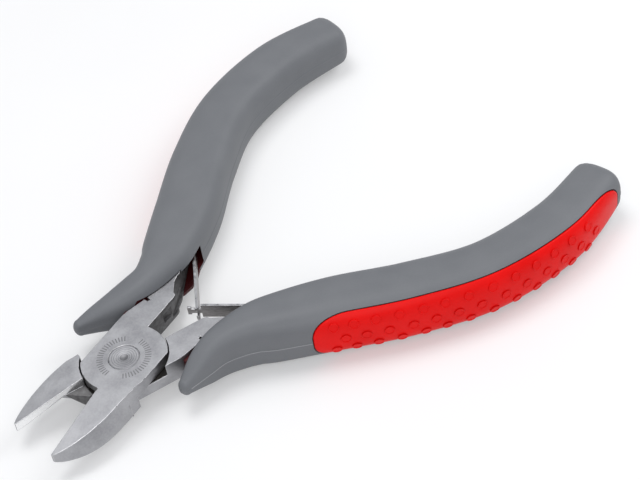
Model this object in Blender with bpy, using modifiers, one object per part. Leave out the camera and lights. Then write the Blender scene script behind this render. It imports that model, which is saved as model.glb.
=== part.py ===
"""Flush cutter: two lapped steel halves on a rivet, crossed leaf springs and two-part moulded grips.

Each arm is drawn closed, in millimetres, on the middle plane of its steel: the pivot is the
origin, the cutting edges lie on the X axis, the jaws point to -X, and the handle runs to +X
on the +Y side. The left arm uses the drawing as it stands and the right arm its mirror image
in Y. An empty at the pivot then turns each arm open by OPEN_ANGLE, and the whole tool stands
so that the rear face of its joint is at Z = 0.
"""

import math

import bmesh
import bpy
from mathutils import Matrix, Vector

MM = 0.001
GAP = 0.3  # running gap between neighbouring pieces

# Joint
OPEN_ANGLE = 13.0  # degrees that each arm is turned from closed
STEEL_HALF = 2.35  # half of the steel's thickness
LAP_RADIUS = 7.7
LAP_ROOM_RADIUS = 8.2  # of the step in the other half
HEAD_HALF_WIDTH = 6.3
LAP_SPLIT = 0.15  # half of the gap between the two laps
RIVET_RADIUS = 1.6
RIVET_HEAD_RADIUS = 2.5
RIVET_HEAD_HEIGHT = 0.9

# Jaws
JAW_ROOT_X = -7.0
JAW_TIP_X = -21.6
EDGE_Y = 0.15  # half of the gap between the closed cutting edges
SLOPE_START_X = -8.6  # where the top face starts to fall towards the tip
THROAT_X = -9.4  # where the relief under the cutting edge starts
RELIEF_X = -12.0  # where the relief is deepest
RELIEF_DEPTH = 2.6
TIP_WIDTH = 0.5
SHOULDER = [(-12.0, -0.3, 0.7), (-12.0, -1.0, 0.4), (-9.4, 1.3, -2.35), (-8.3, 2.2, -2.35), (-8.3, 2.2, -0.15),
            (-6.5, 2.0, -2.35), (-6.5, 2.0, -0.15), (-7.0, -2.5, -2.35), (-9.6, -2.5, -2.35), (-7.0, -2.5, 0.5),
            (-8.6, -0.3, 0.7)]  # corners of the block under the lap, in the throat of the rear jaw

# Tangs, the steel inside the grips
TANG_HALF_WIDTH = 2.2
TANG_INNER_Y = 0.45
TANG_LINE = [(17.5, 3.7), (22.5, 6.4), (30.0, 10.0), (40.0, 14.4), (52.0, 18.9), (64.0, 21.2), (72.0, 21.3)]

# Grips: centre x and y, width to the outer side, width to the inner side, half thickness
GUARD_STATIONS = {
    "left": [(3.5, 13.2, 1.1, 1.1, 1.6), (6.4, 11.8, 1.8, 2.0, 2.5), (10.2, 9.7, 2.6, 2.9, 3.7),
             (13.8, 8.3, 2.9, 3.6, 4.5)],
    "right": [(6.1, 10.6, 1.1, 1.2, 1.6), (7.9, 9.8, 1.6, 1.8, 2.4), (10.6, 8.7, 2.2, 2.6, 3.6),
              (13.8, 7.8, 2.5, 3.3, 4.5)],
}
GRIP_STATIONS = [
    (17.0, 7.4, 3.2, 3.8, 5.0),
    (20.5, 7.7, 3.8, 4.8, 5.3),
    (25.0, 8.7, 5.0, 5.6, 5.5),
    (35.5, 12.1, 6.1, 6.1, 5.6),
    (48.2, 17.4, 6.0, 6.0, 5.6),
    (62.3, 21.2, 5.6, 5.6, 5.5),
    (78.0, 20.1, 5.5, 5.5, 5.2),
    (90.3, 15.4, 4.9, 4.9, 4.6),
]
GRIP_SQUARENESS = 2.6
GRIP_NOSE = 1.2
GRIP_END = 3.1
STEPS = 4  # sections between two stations
GRIP_SIDES = 20
CORE_HALF_THICKNESS = 3.45
CORE_WIDTH = 3.3
CORE_SQUARENESS = 4.0
CORE_SIDES = 12

# Pad in the outer side of each grip
PAD_FIRST = 26.3  # in sections along the grip
PAD_LAST = 43.6
PAD_ANGLE = 54.0  # degrees up and down from the middle plane
PAD_DEPTH = 1.1
PAD_END_SECTIONS = 1.4
SECTION_SPACING = 3.2

# Leaf springs
LEAF_THICKNESS = 0.5
LEAF_HALF_WIDTH = 1.5
LEAF_BEND = (29.14, 6.2)
LEAF_SWING = (-4.0, 16.5)  # degrees about the bend, from wide open to closed
LEAF_FOOT = [(29.75, 6.6), (31.1, 7.5), (38.0, 10.5)]
LEAF_CROSSING = (16.37, -3.78)
LEAF_PAST_CROSSING = 2.0
TONGUE_HALF_WIDTH = 0.6
SLOT_HALF_WIDTH = 0.9
SLOT_LENGTH = 1.8
OTHER_LEAF_ROOM = [(11.5, -1.0), (15.2, -1.0), (15.2, 1.45), (11.5, 1.45)]  # for the other arm's leaf end
SPRING_RIVET_X = 35.0
SPRING_RIVET_RADIUS = 0.6
SPRING_RIVET_HEAD = 1.2

CIRCLE_STEPS = 72
SMALL_STEPS = 24

STEEL = ("satin steel", (0.46, 0.46, 0.47, 1.0), 0.38, 1.0)
SPRING_STEEL = ("spring steel", (0.50, 0.50, 0.50, 1.0), 0.30, 1.0)
GREY = ("grey soft plastic", (0.16, 0.165, 0.175, 1.0), 0.55, 0.0)
RED = ("red soft plastic", (0.75, 0.010, 0.008, 1.0), 0.35, 0.0)
DARK_RED = ("dark red plastic", (0.22, 0.012, 0.012, 1.0), 0.45, 0.0)


# ---------------------------------------------------------------- scene and objects


def clear_scene():
    for obj in list(bpy.data.objects):
        bpy.data.objects.remove(obj, do_unlink=True)


def new_collection(name):
    collection = bpy.data.collections.new(name)
    bpy.context.scene.collection.children.link(collection)
    return collection


def material(finish):
    name, colour, roughness, metallic = finish
    found = bpy.data.materials.get(name)
    if found:
        return found
    made = bpy.data.materials.new(name)
    made.use_nodes = True
    shader = made.node_tree.nodes["Principled BSDF"]
    shader.inputs["Base Color"].default_value = colour
    shader.inputs["Roughness"].default_value = roughness
    shader.inputs["Metallic"].default_value = metallic
    made.diffuse_color = colour
    return made


class Arm:
    """One arm of the tool: its side, its empty at the pivot, and where its objects go."""

    def __init__(self, label, side, tool):
        self.label = label
        self.side = side
        self.empty = bpy.data.objects.new(label + "_pivot", None)
        PARTS.objects.link(self.empty)
        self.empty.parent = tool
        self.empty.rotation_euler.z = math.radians(OPEN_ANGLE * side)

    def place(self, mesh, name, finish=None, matrix=None):
        """Adds a mesh as a part with its finish, or as a hidden cutter where it has none."""
        obj = bpy.data.objects.new(name, mesh)
        (PARTS if finish else CUTTERS).objects.link(obj)
        obj.parent = self.empty
        if matrix is not None:
            obj.matrix_basis = matrix
        if finish:
            mesh.materials.clear()
            mesh.materials.append(material(finish))
        else:
            obj.hide_render = True
            obj.display_type = "WIRE"
        return obj

    def point(self, x, y, z=0.0):
        return Vector((x * MM, y * self.side * MM, z * MM))


def combine(obj, other, operation):
    modifier = obj.modifiers.new(operation.title() + " " + other.name, "BOOLEAN")
    modifier.operation = operation
    modifier.object = other


# ---------------------------------------------------------------- shapes


def plate_mesh(arm, name, outline, low, high):
    """A flat outline, in plan, between two heights."""
    curve = bpy.data.curves.new(name, "CURVE")
    curve.dimensions = "2D"
    curve.fill_mode = "BOTH"
    curve.extrude = (high - low) / 2 * MM
    spline = curve.splines.new("POLY")
    spline.points.add(len(outline) - 1)
    for point, (x, y) in zip(spline.points, outline):
        point.co = (*arm.point(x, y), 1.0)
    spline.use_cyclic_u = True
    guide = bpy.data.objects.new(name + "_outline", curve)
    CUTTERS.objects.link(guide)
    mesh = bpy.data.meshes.new_from_object(guide.evaluated_get(bpy.context.evaluated_depsgraph_get()))
    bpy.data.objects.remove(guide)
    mesh.name = name
    welded = bmesh.new()
    welded.from_mesh(mesh)
    bmesh.ops.remove_doubles(welded, verts=welded.verts, dist=1e-6)
    bmesh.ops.translate(welded, verts=welded.verts, vec=(0, 0, (high + low) / 2 * MM))
    bmesh.ops.recalc_face_normals(welded, faces=welded.faces)
    welded.to_mesh(mesh)
    welded.free()
    return mesh


def loft_mesh(arm, name, sections):
    """A solid through flat sections that have the same number of points, each (x, y, z)."""
    built = bmesh.new()
    rings = [[built.verts.new(arm.point(*point)) for point in section] for section in sections]
    count = len(rings[0])
    for ring, following in zip(rings, rings[1:]):
        for index in range(count):
            after = (index + 1) % count
            built.faces.new((ring[index], ring[after], following[after], following[index]))
    built.faces.new(rings[0])
    built.faces.new(reversed(rings[-1]))
    bmesh.ops.recalc_face_normals(built, faces=built.faces)
    mesh = bpy.data.meshes.new(name)
    built.to_mesh(mesh)
    built.free()
    return mesh


def turned(arm, name, profile, steps, finish=None, matrix=None):
    """A round piece from its half profile, (radius, height) from the top down its outer side."""
    mesh = bpy.data.meshes.new(name)
    points = [(radius * MM, 0.0, height * MM) for radius, height in profile]
    mesh.from_pydata(points, [(index, index + 1) for index in range(len(points) - 1)], [])
    obj = arm.place(mesh, name, finish, matrix)
    screw = obj.modifiers.new("Turn", "SCREW")
    screw.steps = steps
    screw.render_steps = steps
    screw.use_merge_vertices = True
    screw.merge_threshold = 1e-6
    screw.use_smooth_shade = False
    return obj


def rod_profile(radius, low, high):
    return [(0.0, high), (radius, high), (radius, low), (0.0, low)]


def arc(radius, start, end, steps):
    """Points on a circle about the pivot, from one angle to another, in degrees."""
    angles = [math.radians(start + (end - start) * step / steps) for step in range(steps + 1)]
    return [(radius * math.cos(angle), radius * math.sin(angle)) for angle in angles]


def between(low, high, share):
    return low + (high - low) * share


def smooth_path(rows, steps):
    """Rows read from a Catmull-Rom curve through the given rows, steps for each stretch."""
    padded = [rows[0]] + list(rows) + [rows[-1]]
    result = []
    for index in range(len(rows) - 1):
        before, first, second, after = (padded[index + shift] for shift in range(4))
        for step in range(steps):
            t = step / steps
            weights = (-t / 2 + t * t - t**3 / 2, 1 - 2.5 * t * t + 1.5 * t**3,
                       t / 2 + 2 * t * t - 1.5 * t**3, (t**3 - t * t) / 2)
            corners = zip(before, first, second, after)
            result.append(tuple(sum(w * value for w, value in zip(weights, four)) for four in corners))
    result.append(tuple(rows[-1]))
    return result


def sideways(path, index):
    """The unit direction along a path at one of its points, and the one to its left."""
    back, ahead = path[max(index - 1, 0)], path[min(index + 1, len(path) - 1)]
    along = Vector((ahead[0] - back[0], ahead[1] - back[1])).normalized()
    return along, Vector((-along.y, along.x))


def offset_line(path, distance):
    """The path moved to its left by a distance."""
    moved = []
    for index, point in enumerate(path):
        left = sideways(path, index)[1]
        moved.append((point[0] + left.x * distance, point[1] + left.y * distance))
    return moved


def strip_outline(path, half_width):
    return offset_line(path, half_width) + offset_line(path, -half_width)[::-1]


def oval(angle, outer, inner, half_thickness, squareness=GRIP_SQUARENESS):
    """A point of a rounded section: distance to the outer side, and height."""
    cosine, sine = math.cos(angle), math.sin(angle)
    power = 2 / squareness
    side = math.copysign(abs(cosine) ** power, cosine) * (outer if cosine > 0 else inner)
    return side, math.copysign(abs(sine) ** power, sine) * half_thickness


def oval_section(centre, left, size, sides, squareness=GRIP_SQUARENESS):
    """A rounded section across a path. size is its outer and inner widths and half thickness."""
    section = []
    for index in range(sides):
        side, height = oval(2 * math.pi * (index + 0.5) / sides, *size, squareness)
        section.append((centre[0] + left.x * side, centre[1] + left.y * side, height))
    return section


# ---------------------------------------------------------------- steel halves


def tang_line():
    return smooth_path(TANG_LINE, 3)


def half_outline():
    """The plan of one half without its jaw: the lap, its flanks and the tang."""
    corner = math.degrees(math.asin(HEAD_HALF_WIDTH / LAP_RADIUS))
    tang = tang_line()
    inner_start = math.degrees(math.asin(TANG_INNER_Y / LAP_RADIUS))
    edge_angle = 180 - math.degrees(math.asin(-EDGE_Y / LAP_RADIUS))
    outline = [(JAW_ROOT_X, -HEAD_HALF_WIDTH + 0.1), (JAW_ROOT_X, -EDGE_Y)]
    outline += arc(LAP_RADIUS, edge_angle, 180 - corner, 14)
    outline += [(7.2, HEAD_HALF_WIDTH), (9.6, 5.95), (13.5, 4.75)]
    outline += offset_line(tang, TANG_HALF_WIDTH)
    outline += offset_line(tang, -TANG_HALF_WIDTH)[::-1]
    outline += [(16.4, 1.3), (15.6, TANG_INNER_Y)]
    outline += arc(LAP_RADIUS, inner_start, -corner, 14)
    return outline


def jaw_section(x):
    """The jaw across its length: strip top, ridge, outer foot, relief foot and cutting edge."""
    share = (JAW_ROOT_X - x) / (JAW_ROOT_X - JAW_TIP_X)
    fall = max(0.0, SLOPE_START_X - x) / (SLOPE_START_X - JAW_TIP_X)
    top = STEEL_HALF * (1 - fall)
    foot = -STEEL_HALF + 0.5 * share**3
    ridge_y = TIP_WIDTH + 5.15 * (1 - share**1.75) ** 0.85
    foot_y = TIP_WIDTH + 0.1 + 5.65 * (1 - share**3) ** 0.8
    if x >= THROAT_X:
        edge, relief_y = foot + 0.05, EDGE_Y + 0.05
    elif x >= RELIEF_X:
        depth = (THROAT_X - x) / (THROAT_X - RELIEF_X)
        edge = between(foot + 0.05, 0.7, depth)
        relief_y = between(EDGE_Y + 0.05, RELIEF_DEPTH, depth)
    else:
        length = (RELIEF_X - x) / (RELIEF_X - JAW_TIP_X)
        edge = between(0.7, foot + 0.05, length)
        relief_y = between(RELIEF_DEPTH, EDGE_Y + 0.15, length)
    return [(x, -EDGE_Y, top), (x, -ridge_y, top), (x, -foot_y, foot), (x, -relief_y, foot), (x, -EDGE_Y, edge)]


def jaw_mesh(arm):
    stations = [-6.4, JAW_ROOT_X, SLOPE_START_X, THROAT_X, -10.7, RELIEF_X, -13.5, -15.0, -16.5, -18.0, -19.3]
    stations += [-20.4, -21.1, JAW_TIP_X]
    sections = [jaw_section(min(x, JAW_ROOT_X)) for x in stations]
    sections[0] = [(stations[0], y, z) for _, y, z in sections[0]]
    return loft_mesh(arm, arm.label + "_jaw", sections)


def block_mesh(arm, name, corners, grow):
    """The convex block round some corners, grow larger on every side."""
    built = bmesh.new()
    for x, y, z in corners:
        for shift in ((a, b, c) for a in (-grow, grow) for b in (-grow, grow) for c in (-grow, grow)):
            built.verts.new(arm.point(x + shift[0], y + shift[1], z + shift[2]))
    bmesh.ops.remove_doubles(built, verts=built.verts, dist=1e-7)
    hull = bmesh.ops.convex_hull(built, input=built.verts)
    loose = {item for item in hull["geom_interior"] + hull["geom_unused"] if isinstance(item, bmesh.types.BMVert)}
    bmesh.ops.delete(built, geom=list(loose), context="VERTS")
    bmesh.ops.recalc_face_normals(built, faces=built.faces)
    mesh = bpy.data.meshes.new(name)
    built.to_mesh(mesh)
    built.free()
    return mesh


def steel_half(arm, name, lap_side):
    """One half. lap_side is 1 where its lap is the upper layer and -1 where it is the lower."""
    plate = plate_mesh(arm, name, half_outline(), -STEEL_HALF, STEEL_HALF)
    half = arm.place(plate, name, STEEL)
    combine(half, arm.place(jaw_mesh(arm), name + "_jaw"), "UNION")
    if lap_side < 0:
        combine(half, arm.place(block_mesh(arm, name + "_shoulder", SHOULDER, 0.0), name + "_shoulder"), "UNION")
    else:
        facing = [(x, -y, z) for x, y, z in SHOULDER]
        room = arm.place(block_mesh(arm, name + "_shoulder_room", facing, GAP), name + "_shoulder_room")
        combine(half, room, "DIFFERENCE")
    far, near = sorted((-lap_side * (STEEL_HALF + 1), lap_side * LAP_SPLIT))
    lap = turned(arm, name + "_lap_room", rod_profile(LAP_ROOM_RADIUS, far, near), CIRCLE_STEPS)
    combine(half, lap, "DIFFERENCE")
    reach = STEEL_HALF + 1
    head_floor = STEEL_HALF - RIVET_HEAD_HEIGHT - GAP
    bore = [(0, reach), (RIVET_HEAD_RADIUS + GAP, reach), (RIVET_HEAD_RADIUS + GAP, head_floor),
            (RIVET_RADIUS + GAP, head_floor), (RIVET_RADIUS + GAP, -head_floor),
            (RIVET_HEAD_RADIUS + GAP, -head_floor), (RIVET_HEAD_RADIUS + GAP, -reach), (0, -reach)]
    combine(half, turned(arm, name + "_bore", bore, CIRCLE_STEPS), "DIFFERENCE")
    height = LEAF_HALF_WIDTH + GAP
    for label, outline in (("_own_leaf_room", leaf_sweep()), ("_other_leaf_room", OTHER_LEAF_ROOM)):
        room = arm.place(plate_mesh(arm, name + label, outline, -height, height), name + label)
        combine(half, room, "DIFFERENCE")
    hole = rod_profile(SPRING_RIVET_RADIUS + GAP, -2.2, 1.0)
    combine(half, turned(arm, name + "_rivet_hole", hole, SMALL_STEPS, matrix=spring_rivet_place(arm)), "DIFFERENCE")
    return half


def pivot_rivet(arm):
    floor = STEEL_HALF - RIVET_HEAD_HEIGHT
    profile = [(0, STEEL_HALF), (RIVET_HEAD_RADIUS, STEEL_HALF), (RIVET_HEAD_RADIUS, floor),
               (RIVET_RADIUS, floor), (RIVET_RADIUS, -floor), (RIVET_HEAD_RADIUS, -floor),
               (RIVET_HEAD_RADIUS, -STEEL_HALF), (0, -STEEL_HALF)]
    return turned(arm, "pivot_rivet", profile, CIRCLE_STEPS, STEEL)


# ---------------------------------------------------------------- leaf springs


def spring_rivet_place(arm):
    """A frame on the tang's inner face, with Z pointing out of the steel."""
    face = offset_line(tang_line(), -TANG_HALF_WIDTH)
    index = min(range(len(face)), key=lambda i: abs(face[i][0] - SPRING_RIVET_X))
    outward = -sideways(tang_line(), index)[1]
    normal = Vector((outward.x, outward.y * arm.side, 0))
    turn = Vector((0, 0, 1)).rotation_difference(normal).to_matrix().to_4x4()
    return Matrix.Translation(arm.point(*face[index])) @ turn


def spring_rivet(arm):
    leaf_top = 2 * GAP + LEAF_THICKNESS
    profile = [(0, leaf_top + 0.5), (SPRING_RIVET_HEAD, leaf_top + 0.5), (SPRING_RIVET_HEAD, leaf_top),
               (SPRING_RIVET_RADIUS, leaf_top), (SPRING_RIVET_RADIUS, -1.9), (0, -1.9)]
    name = arm.label + "_spring_rivet"
    return turned(arm, name, profile, SMALL_STEPS, SPRING_STEEL, spring_rivet_place(arm))


def leaf_direction():
    bend, crossing = Vector(LEAF_BEND), Vector(LEAF_CROSSING)
    return (crossing - bend).normalized()


def leaf_sweep():
    """The plan of the room that the leaf needs about its bend, with a running gap all round."""
    margin = LEAF_THICKNESS / 2 + GAP
    bend, along = Vector(LEAF_BEND), leaf_direction()
    reach = (Vector(LEAF_CROSSING) - bend).length + LEAF_PAST_CROSSING + GAP
    outline = []
    for step in range(6):
        turn = -math.radians(between(*LEAF_SWING, step / 5))
        ray = Vector((along.x * math.cos(turn) - along.y * math.sin(turn),
                      along.x * math.sin(turn) + along.y * math.cos(turn)))
        left = Vector((-ray.y, ray.x))
        if step == 0:
            outline += [bend - ray * margin + left * margin, bend + ray * reach + left * margin]
        elif step == 5:
            outline += [bend + ray * reach - left * margin, bend - ray * margin - left * margin]
        else:
            outline.append(bend + ray * reach)
    return [tuple(point) for point in outline]


def box_around_leaf(arm, name, start, end, low, high):
    """A block across the leaf, between two distances past the crossing and two heights."""
    crossing, along = Vector(LEAF_CROSSING), leaf_direction()
    path = [tuple(crossing + along * start), tuple(crossing + along * end)]
    return arm.place(plate_mesh(arm, name, strip_outline(path, 1.5), low, high), name)


def leaf_spring(arm, forked):
    """The free length of a flat spring, up to its bend. One ends in a fork, the other in a T."""
    tip = Vector(LEAF_CROSSING) + leaf_direction() * LEAF_PAST_CROSSING
    path = [tuple(tip), LEAF_BEND]
    name = arm.label + "_leaf_spring"
    outline = strip_outline(path, LEAF_THICKNESS / 2)
    leaf = arm.place(plate_mesh(arm, name, outline, -LEAF_HALF_WIDTH, LEAF_HALF_WIDTH), name, SPRING_STEEL)
    if forked:
        slot = box_around_leaf(arm, name + "_slot", -SLOT_LENGTH, 9, -SLOT_HALF_WIDTH, SLOT_HALF_WIDTH)
        combine(leaf, slot, "DIFFERENCE")
    else:
        above, neck_end = LEAF_HALF_WIDTH + 1, LEAF_PAST_CROSSING - 0.6
        for label, low, high in (("upper", TONGUE_HALF_WIDTH, above), ("lower", -above, -TONGUE_HALF_WIDTH)):
            side = box_around_leaf(arm, name + "_" + label, -SLOT_LENGTH, neck_end, low, high)
            combine(leaf, side, "DIFFERENCE")


def spring_foot(arm):
    """The short riveted length of a flat spring, flat on the tang's inner face."""
    name = arm.label + "_spring_foot"
    outline = strip_outline(LEAF_FOOT, LEAF_THICKNESS / 2)
    foot = arm.place(plate_mesh(arm, name, outline, -LEAF_HALF_WIDTH, LEAF_HALF_WIDTH), name, SPRING_STEEL)
    hole = rod_profile(SPRING_RIVET_RADIUS + GAP, -0.2, 2.0)
    combine(foot, turned(arm, name + "_hole", hole, SMALL_STEPS, matrix=spring_rivet_place(arm)), "DIFFERENCE")


# ---------------------------------------------------------------- grips


def grip_rows(arm):
    return smooth_path(GUARD_STATIONS[arm.label] + GRIP_STATIONS, STEPS)


def grip_mesh(arm, name):
    """The outer form of a grip, from the nose of its guard to its rounded end."""
    rows = grip_rows(arm)
    sections = []
    for index, (x, y, *size) in enumerate(rows):
        sections.append(oval_section((x, y), sideways(rows, index)[1], size, GRIP_SIDES))
    rounding = [math.radians(angle) for angle in (30, 55, 78)]
    for end, length, sign in ((0, GRIP_NOSE, -1), (len(rows) - 1, GRIP_END, 1)):
        x, y, *size = rows[end]
        along, left = sideways(rows, end)
        for angle in rounding:
            push = sign * length * math.sin(angle)
            centre = (x + along.x * push, y + along.y * push)
            section = oval_section(centre, left, [value * math.cos(angle) for value in size], GRIP_SIDES)
            sections.insert(0 if sign < 0 else len(sections), section)
    return loft_mesh(arm, name, sections)


def core_mesh(arm, name, grow):
    """The sleeve round the tang, open on its inner side where the leaf spring comes out."""
    tang = tang_line()
    sections = []
    for index in range(1, len(tang)):
        open_share = min(1.0, max(0.0, (tang[index][0] - 26.0) / 3.0))
        inner = between(TANG_HALF_WIDTH, CORE_WIDTH, open_share)
        size = (CORE_WIDTH + grow, inner + grow, CORE_HALF_THICKNESS + grow)
        left = sideways(tang, index)[1]
        sections.append(oval_section(tang[index], left, size, CORE_SIDES, CORE_SQUARENESS))
    along, left = sideways(tang, len(tang) - 1)
    end = tang[-1]
    tail = (end[0] + along.x * (2.0 + grow), end[1] + along.y * (2.0 + grow))
    size = (CORE_WIDTH - 1 + grow, CORE_WIDTH - 1 + grow, CORE_HALF_THICKNESS - 1 + grow)
    sections.append(oval_section(tail, left, size, CORE_SIDES, CORE_SQUARENESS))
    return loft_mesh(arm, name, sections)


def pad_mesh(arm, name, grow, proud):
    """A strip wrapped on the outer side of the grip, grow wider and deeper than the pad."""
    rows = grip_rows(arm)
    rounded = PAD_END_SECTIONS
    stations = [PAD_FIRST + rounded * share for share in (0.0, 0.12, 0.4, 1.0)]
    stations += list(range(math.ceil(stations[-1] + 0.2), math.floor(PAD_LAST - rounded) + 1))
    stations += [PAD_LAST - rounded * share for share in (0.9, 0.4, 0.12, 0.0)]
    sections = []
    for station in stations:
        nearest = min(station - PAD_FIRST, PAD_LAST - station) / rounded
        reach = min(1.0, math.sqrt(max(0.0, 1 - (1 - min(nearest, 1.0)) ** 2)) * 0.75 + 0.25)
        stretch = grow / SECTION_SPACING * (1 if station > (PAD_FIRST + PAD_LAST) / 2 else -1)
        place = station + (stretch if nearest < 0.05 else 0.0)
        index = min(int(place), len(rows) - 2)
        row = [between(a, b, place - index) for a, b in zip(rows[index], rows[index + 1])]
        left = (sideways(rows, index)[1] * (1 - place + index) + sideways(rows, index + 1)[1] * (place - index))
        left.normalize()
        limit = math.radians(PAD_ANGLE * reach) + grow / row[2]
        angles = [limit * (2 * count / 8 - 1) for count in range(9)]
        section = []
        for extra, order in ((proud, 1), (-PAD_DEPTH - grow, -1)):
            for angle in angles[::order]:
                side, height = oval(angle, row[2] + extra, row[3], row[4] + extra)
                section.append((row[0] + left.x * side, row[1] + left.y * side, height))
        sections.append(section)
    return loft_mesh(arm, name, sections)


def spring_room(arm, name):
    """The wedge that the leaf sweeps, from open to closed, and the nook for its root."""
    outline = [(13.0, -4.0), (17.0, 2.6), (29.0, 7.6), (32.0, 9.2), (39.5, 12.4), (40.3, 9.7), (31.9, 5.8),
               (29.9, 5.2), (20.8, -2.9)]
    height = LEAF_HALF_WIDTH + 2 * GAP
    return arm.place(plate_mesh(arm, name, outline, -height, height), name)


def grip(arm):
    cover = arm.place(grip_mesh(arm, arm.label + "_grip_cover"), arm.label + "_grip_cover", GREY)
    core = arm.place(core_mesh(arm, arm.label + "_grip_core", 0.0), arm.label + "_grip_core", DARK_RED)
    pad = arm.place(pad_mesh(arm, arm.label + "_grip_pad", 0.0, 0.0), arm.label + "_grip_pad", RED)
    channel_path = [(8.6, 4.15), (12.5, 3.0), (15.5, 2.95)] + tang_line() + [(72.4, 21.3)]
    channel_height = STEEL_HALF + GAP
    channel_outline = strip_outline(channel_path, TANG_HALF_WIDTH + GAP)
    channel = arm.place(plate_mesh(arm, arm.label + "_channel", channel_outline, -channel_height, channel_height),
                        arm.label + "_channel")
    sleeve_room = arm.place(core_mesh(arm, arm.label + "_sleeve_room", GAP), arm.label + "_sleeve_room")
    pad_room = arm.place(pad_mesh(arm, arm.label + "_pad_room", GAP, 2.0), arm.label + "_pad_room")
    room = spring_room(arm, arm.label + "_spring_room")
    for cutter in (sleeve_room, channel, pad_room, room):
        combine(cover, cutter, "DIFFERENCE")
    for cutter in (channel, room):
        combine(core, cutter, "DIFFERENCE")
    return cover, core, pad


# ---------------------------------------------------------------- the tool

clear_scene()
PARTS = new_collection("flush_cutter")
CUTTERS = new_collection("cutters")
TOOL = bpy.data.objects.new("tool", None)
PARTS.objects.link(TOOL)
TOOL.location.z = STEEL_HALF * MM

LEFT = Arm("left", 1, TOOL)
RIGHT = Arm("right", -1, TOOL)
steel_half(LEFT, "front_half", 1)
steel_half(RIGHT, "rear_half", -1)
pivot_rivet(RIGHT)
for ARM, FORKED in ((LEFT, True), (RIGHT, False)):
    leaf_spring(ARM, FORKED)
    spring_foot(ARM)
    spring_rivet(ARM)
    grip(ARM)
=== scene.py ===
# %% [markdown]
# # A flush cutter, from its steel to its studs
#
# This is a small cutter for trimming component leads: two steel halves lapped on a rivet,
# two crossed leaf springs that push them open, and two moulded grips with studded pads.
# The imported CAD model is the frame. Each finished piece below rides on one of its bodies,
# so the cutter opens and closes as the CAD model does.
#
# Every piece is drawn in millimetres on a closed cutter, with the pivot at the origin, the
# cutting edges on the X axis and the jaws towards -X. A piece is drawn once, for the left
# arm, and the right arm takes its mirror image.

import math

import bmesh
import bpy
from bpy_extras.object_utils import world_to_camera_view
from mathutils import Matrix, Vector


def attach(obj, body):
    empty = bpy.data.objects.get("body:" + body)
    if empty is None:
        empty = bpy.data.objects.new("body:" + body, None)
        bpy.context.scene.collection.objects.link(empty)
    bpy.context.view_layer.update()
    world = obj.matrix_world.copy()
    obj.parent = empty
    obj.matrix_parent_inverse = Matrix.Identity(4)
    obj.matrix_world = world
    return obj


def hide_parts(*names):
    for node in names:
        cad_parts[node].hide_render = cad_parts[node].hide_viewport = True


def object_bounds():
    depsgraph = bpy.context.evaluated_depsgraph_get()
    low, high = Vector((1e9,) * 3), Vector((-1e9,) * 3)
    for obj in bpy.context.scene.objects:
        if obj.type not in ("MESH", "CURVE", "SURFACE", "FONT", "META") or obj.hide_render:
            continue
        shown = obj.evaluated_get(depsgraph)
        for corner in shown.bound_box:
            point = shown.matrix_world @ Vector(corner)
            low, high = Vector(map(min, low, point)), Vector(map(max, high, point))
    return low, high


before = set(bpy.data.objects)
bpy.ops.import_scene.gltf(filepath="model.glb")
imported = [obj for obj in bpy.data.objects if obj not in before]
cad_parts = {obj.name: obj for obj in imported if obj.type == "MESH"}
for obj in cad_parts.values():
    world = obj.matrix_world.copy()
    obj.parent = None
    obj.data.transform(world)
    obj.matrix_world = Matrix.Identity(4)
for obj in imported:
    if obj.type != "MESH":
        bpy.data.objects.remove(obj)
cad_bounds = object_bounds()
scene = bpy.context.scene

# %% [markdown]
# ## Two arms and a shelf for pieces
#
# An arm is a side, a body and a turn about the pivot. `finish_piece` is the last step of every
# piece: it puts the place of the arm into the mesh, so that the object itself stays at the
# origin, names the body that it rides on and the CAD nodes that it stands for, and gives the
# slot of its finish. A mirrored mesh has its faces turned back, so that they point outwards.
# A Weighted Normal modifier lets the large flat faces decide the shading at their rims, so a
# ground flat beside a rounded corner still looks flat.

# %% Arms, and the last step of each piece
MM = 0.001
OPEN_ANGLE = 13.0  # degrees, from closed to the rest position
STEEL_HALF = 2.35  # half of the steel's thickness
ARMS = {
    "left": {"side": 1, "body": "front_arm", "spring": "left_spring"},
    "right": {"side": -1, "body": "rear_arm", "spring": "right_spring"},
}


def arm_place(arm):
    side = ARMS[arm]["side"]
    turn = Matrix.Rotation(math.radians(OPEN_ANGLE * side), 4, "Z")
    lift = Matrix.Translation((0, 0, STEEL_HALF * MM))
    return lift @ turn @ Matrix.Diagonal((MM, MM * side, MM, 1))


def plain_mesh(holder, name):
    """The mesh that an object's modifiers give. The object itself is removed."""
    graph = bpy.context.evaluated_depsgraph_get()
    mesh = bpy.data.meshes.new_from_object(holder.evaluated_get(graph))
    mesh.name = name
    bpy.data.objects.remove(holder)
    return mesh


def holder_of(mesh):
    holder = bpy.data.objects.new(mesh.name + "_holder", mesh)
    scene.collection.objects.link(holder)
    return holder


def finish_piece(mesh, name, arm, materials, replaces=(), body=None, sharp=40):
    mesh.transform(arm_place(arm))
    if ARMS[arm]["side"] < 0:
        mesh.flip_normals()
    mesh.shade_smooth()
    mesh.set_sharp_from_angle(angle=math.radians(sharp))
    while len(mesh.materials) < len(materials):
        mesh.materials.append(None)
    for index, material in enumerate(materials):
        mesh.materials[index] = material
    holder = holder_of(mesh)
    holder.modifiers.new("Flat faces stay flat", "WEIGHTED_NORMAL").keep_sharp = True
    mesh = plain_mesh(holder, name)
    piece = bpy.data.objects.new(name, mesh)
    scene.collection.objects.link(piece)
    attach(piece, body or ARMS[arm]["body"])
    if replaces:
        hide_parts(*replaces)
    heights = [vertex.co.z / MM for vertex in mesh.vertices]
    print(f"{name}: {len(mesh.polygons)} faces, from {min(heights):.2f} to {max(heights):.2f} mm high")


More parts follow.
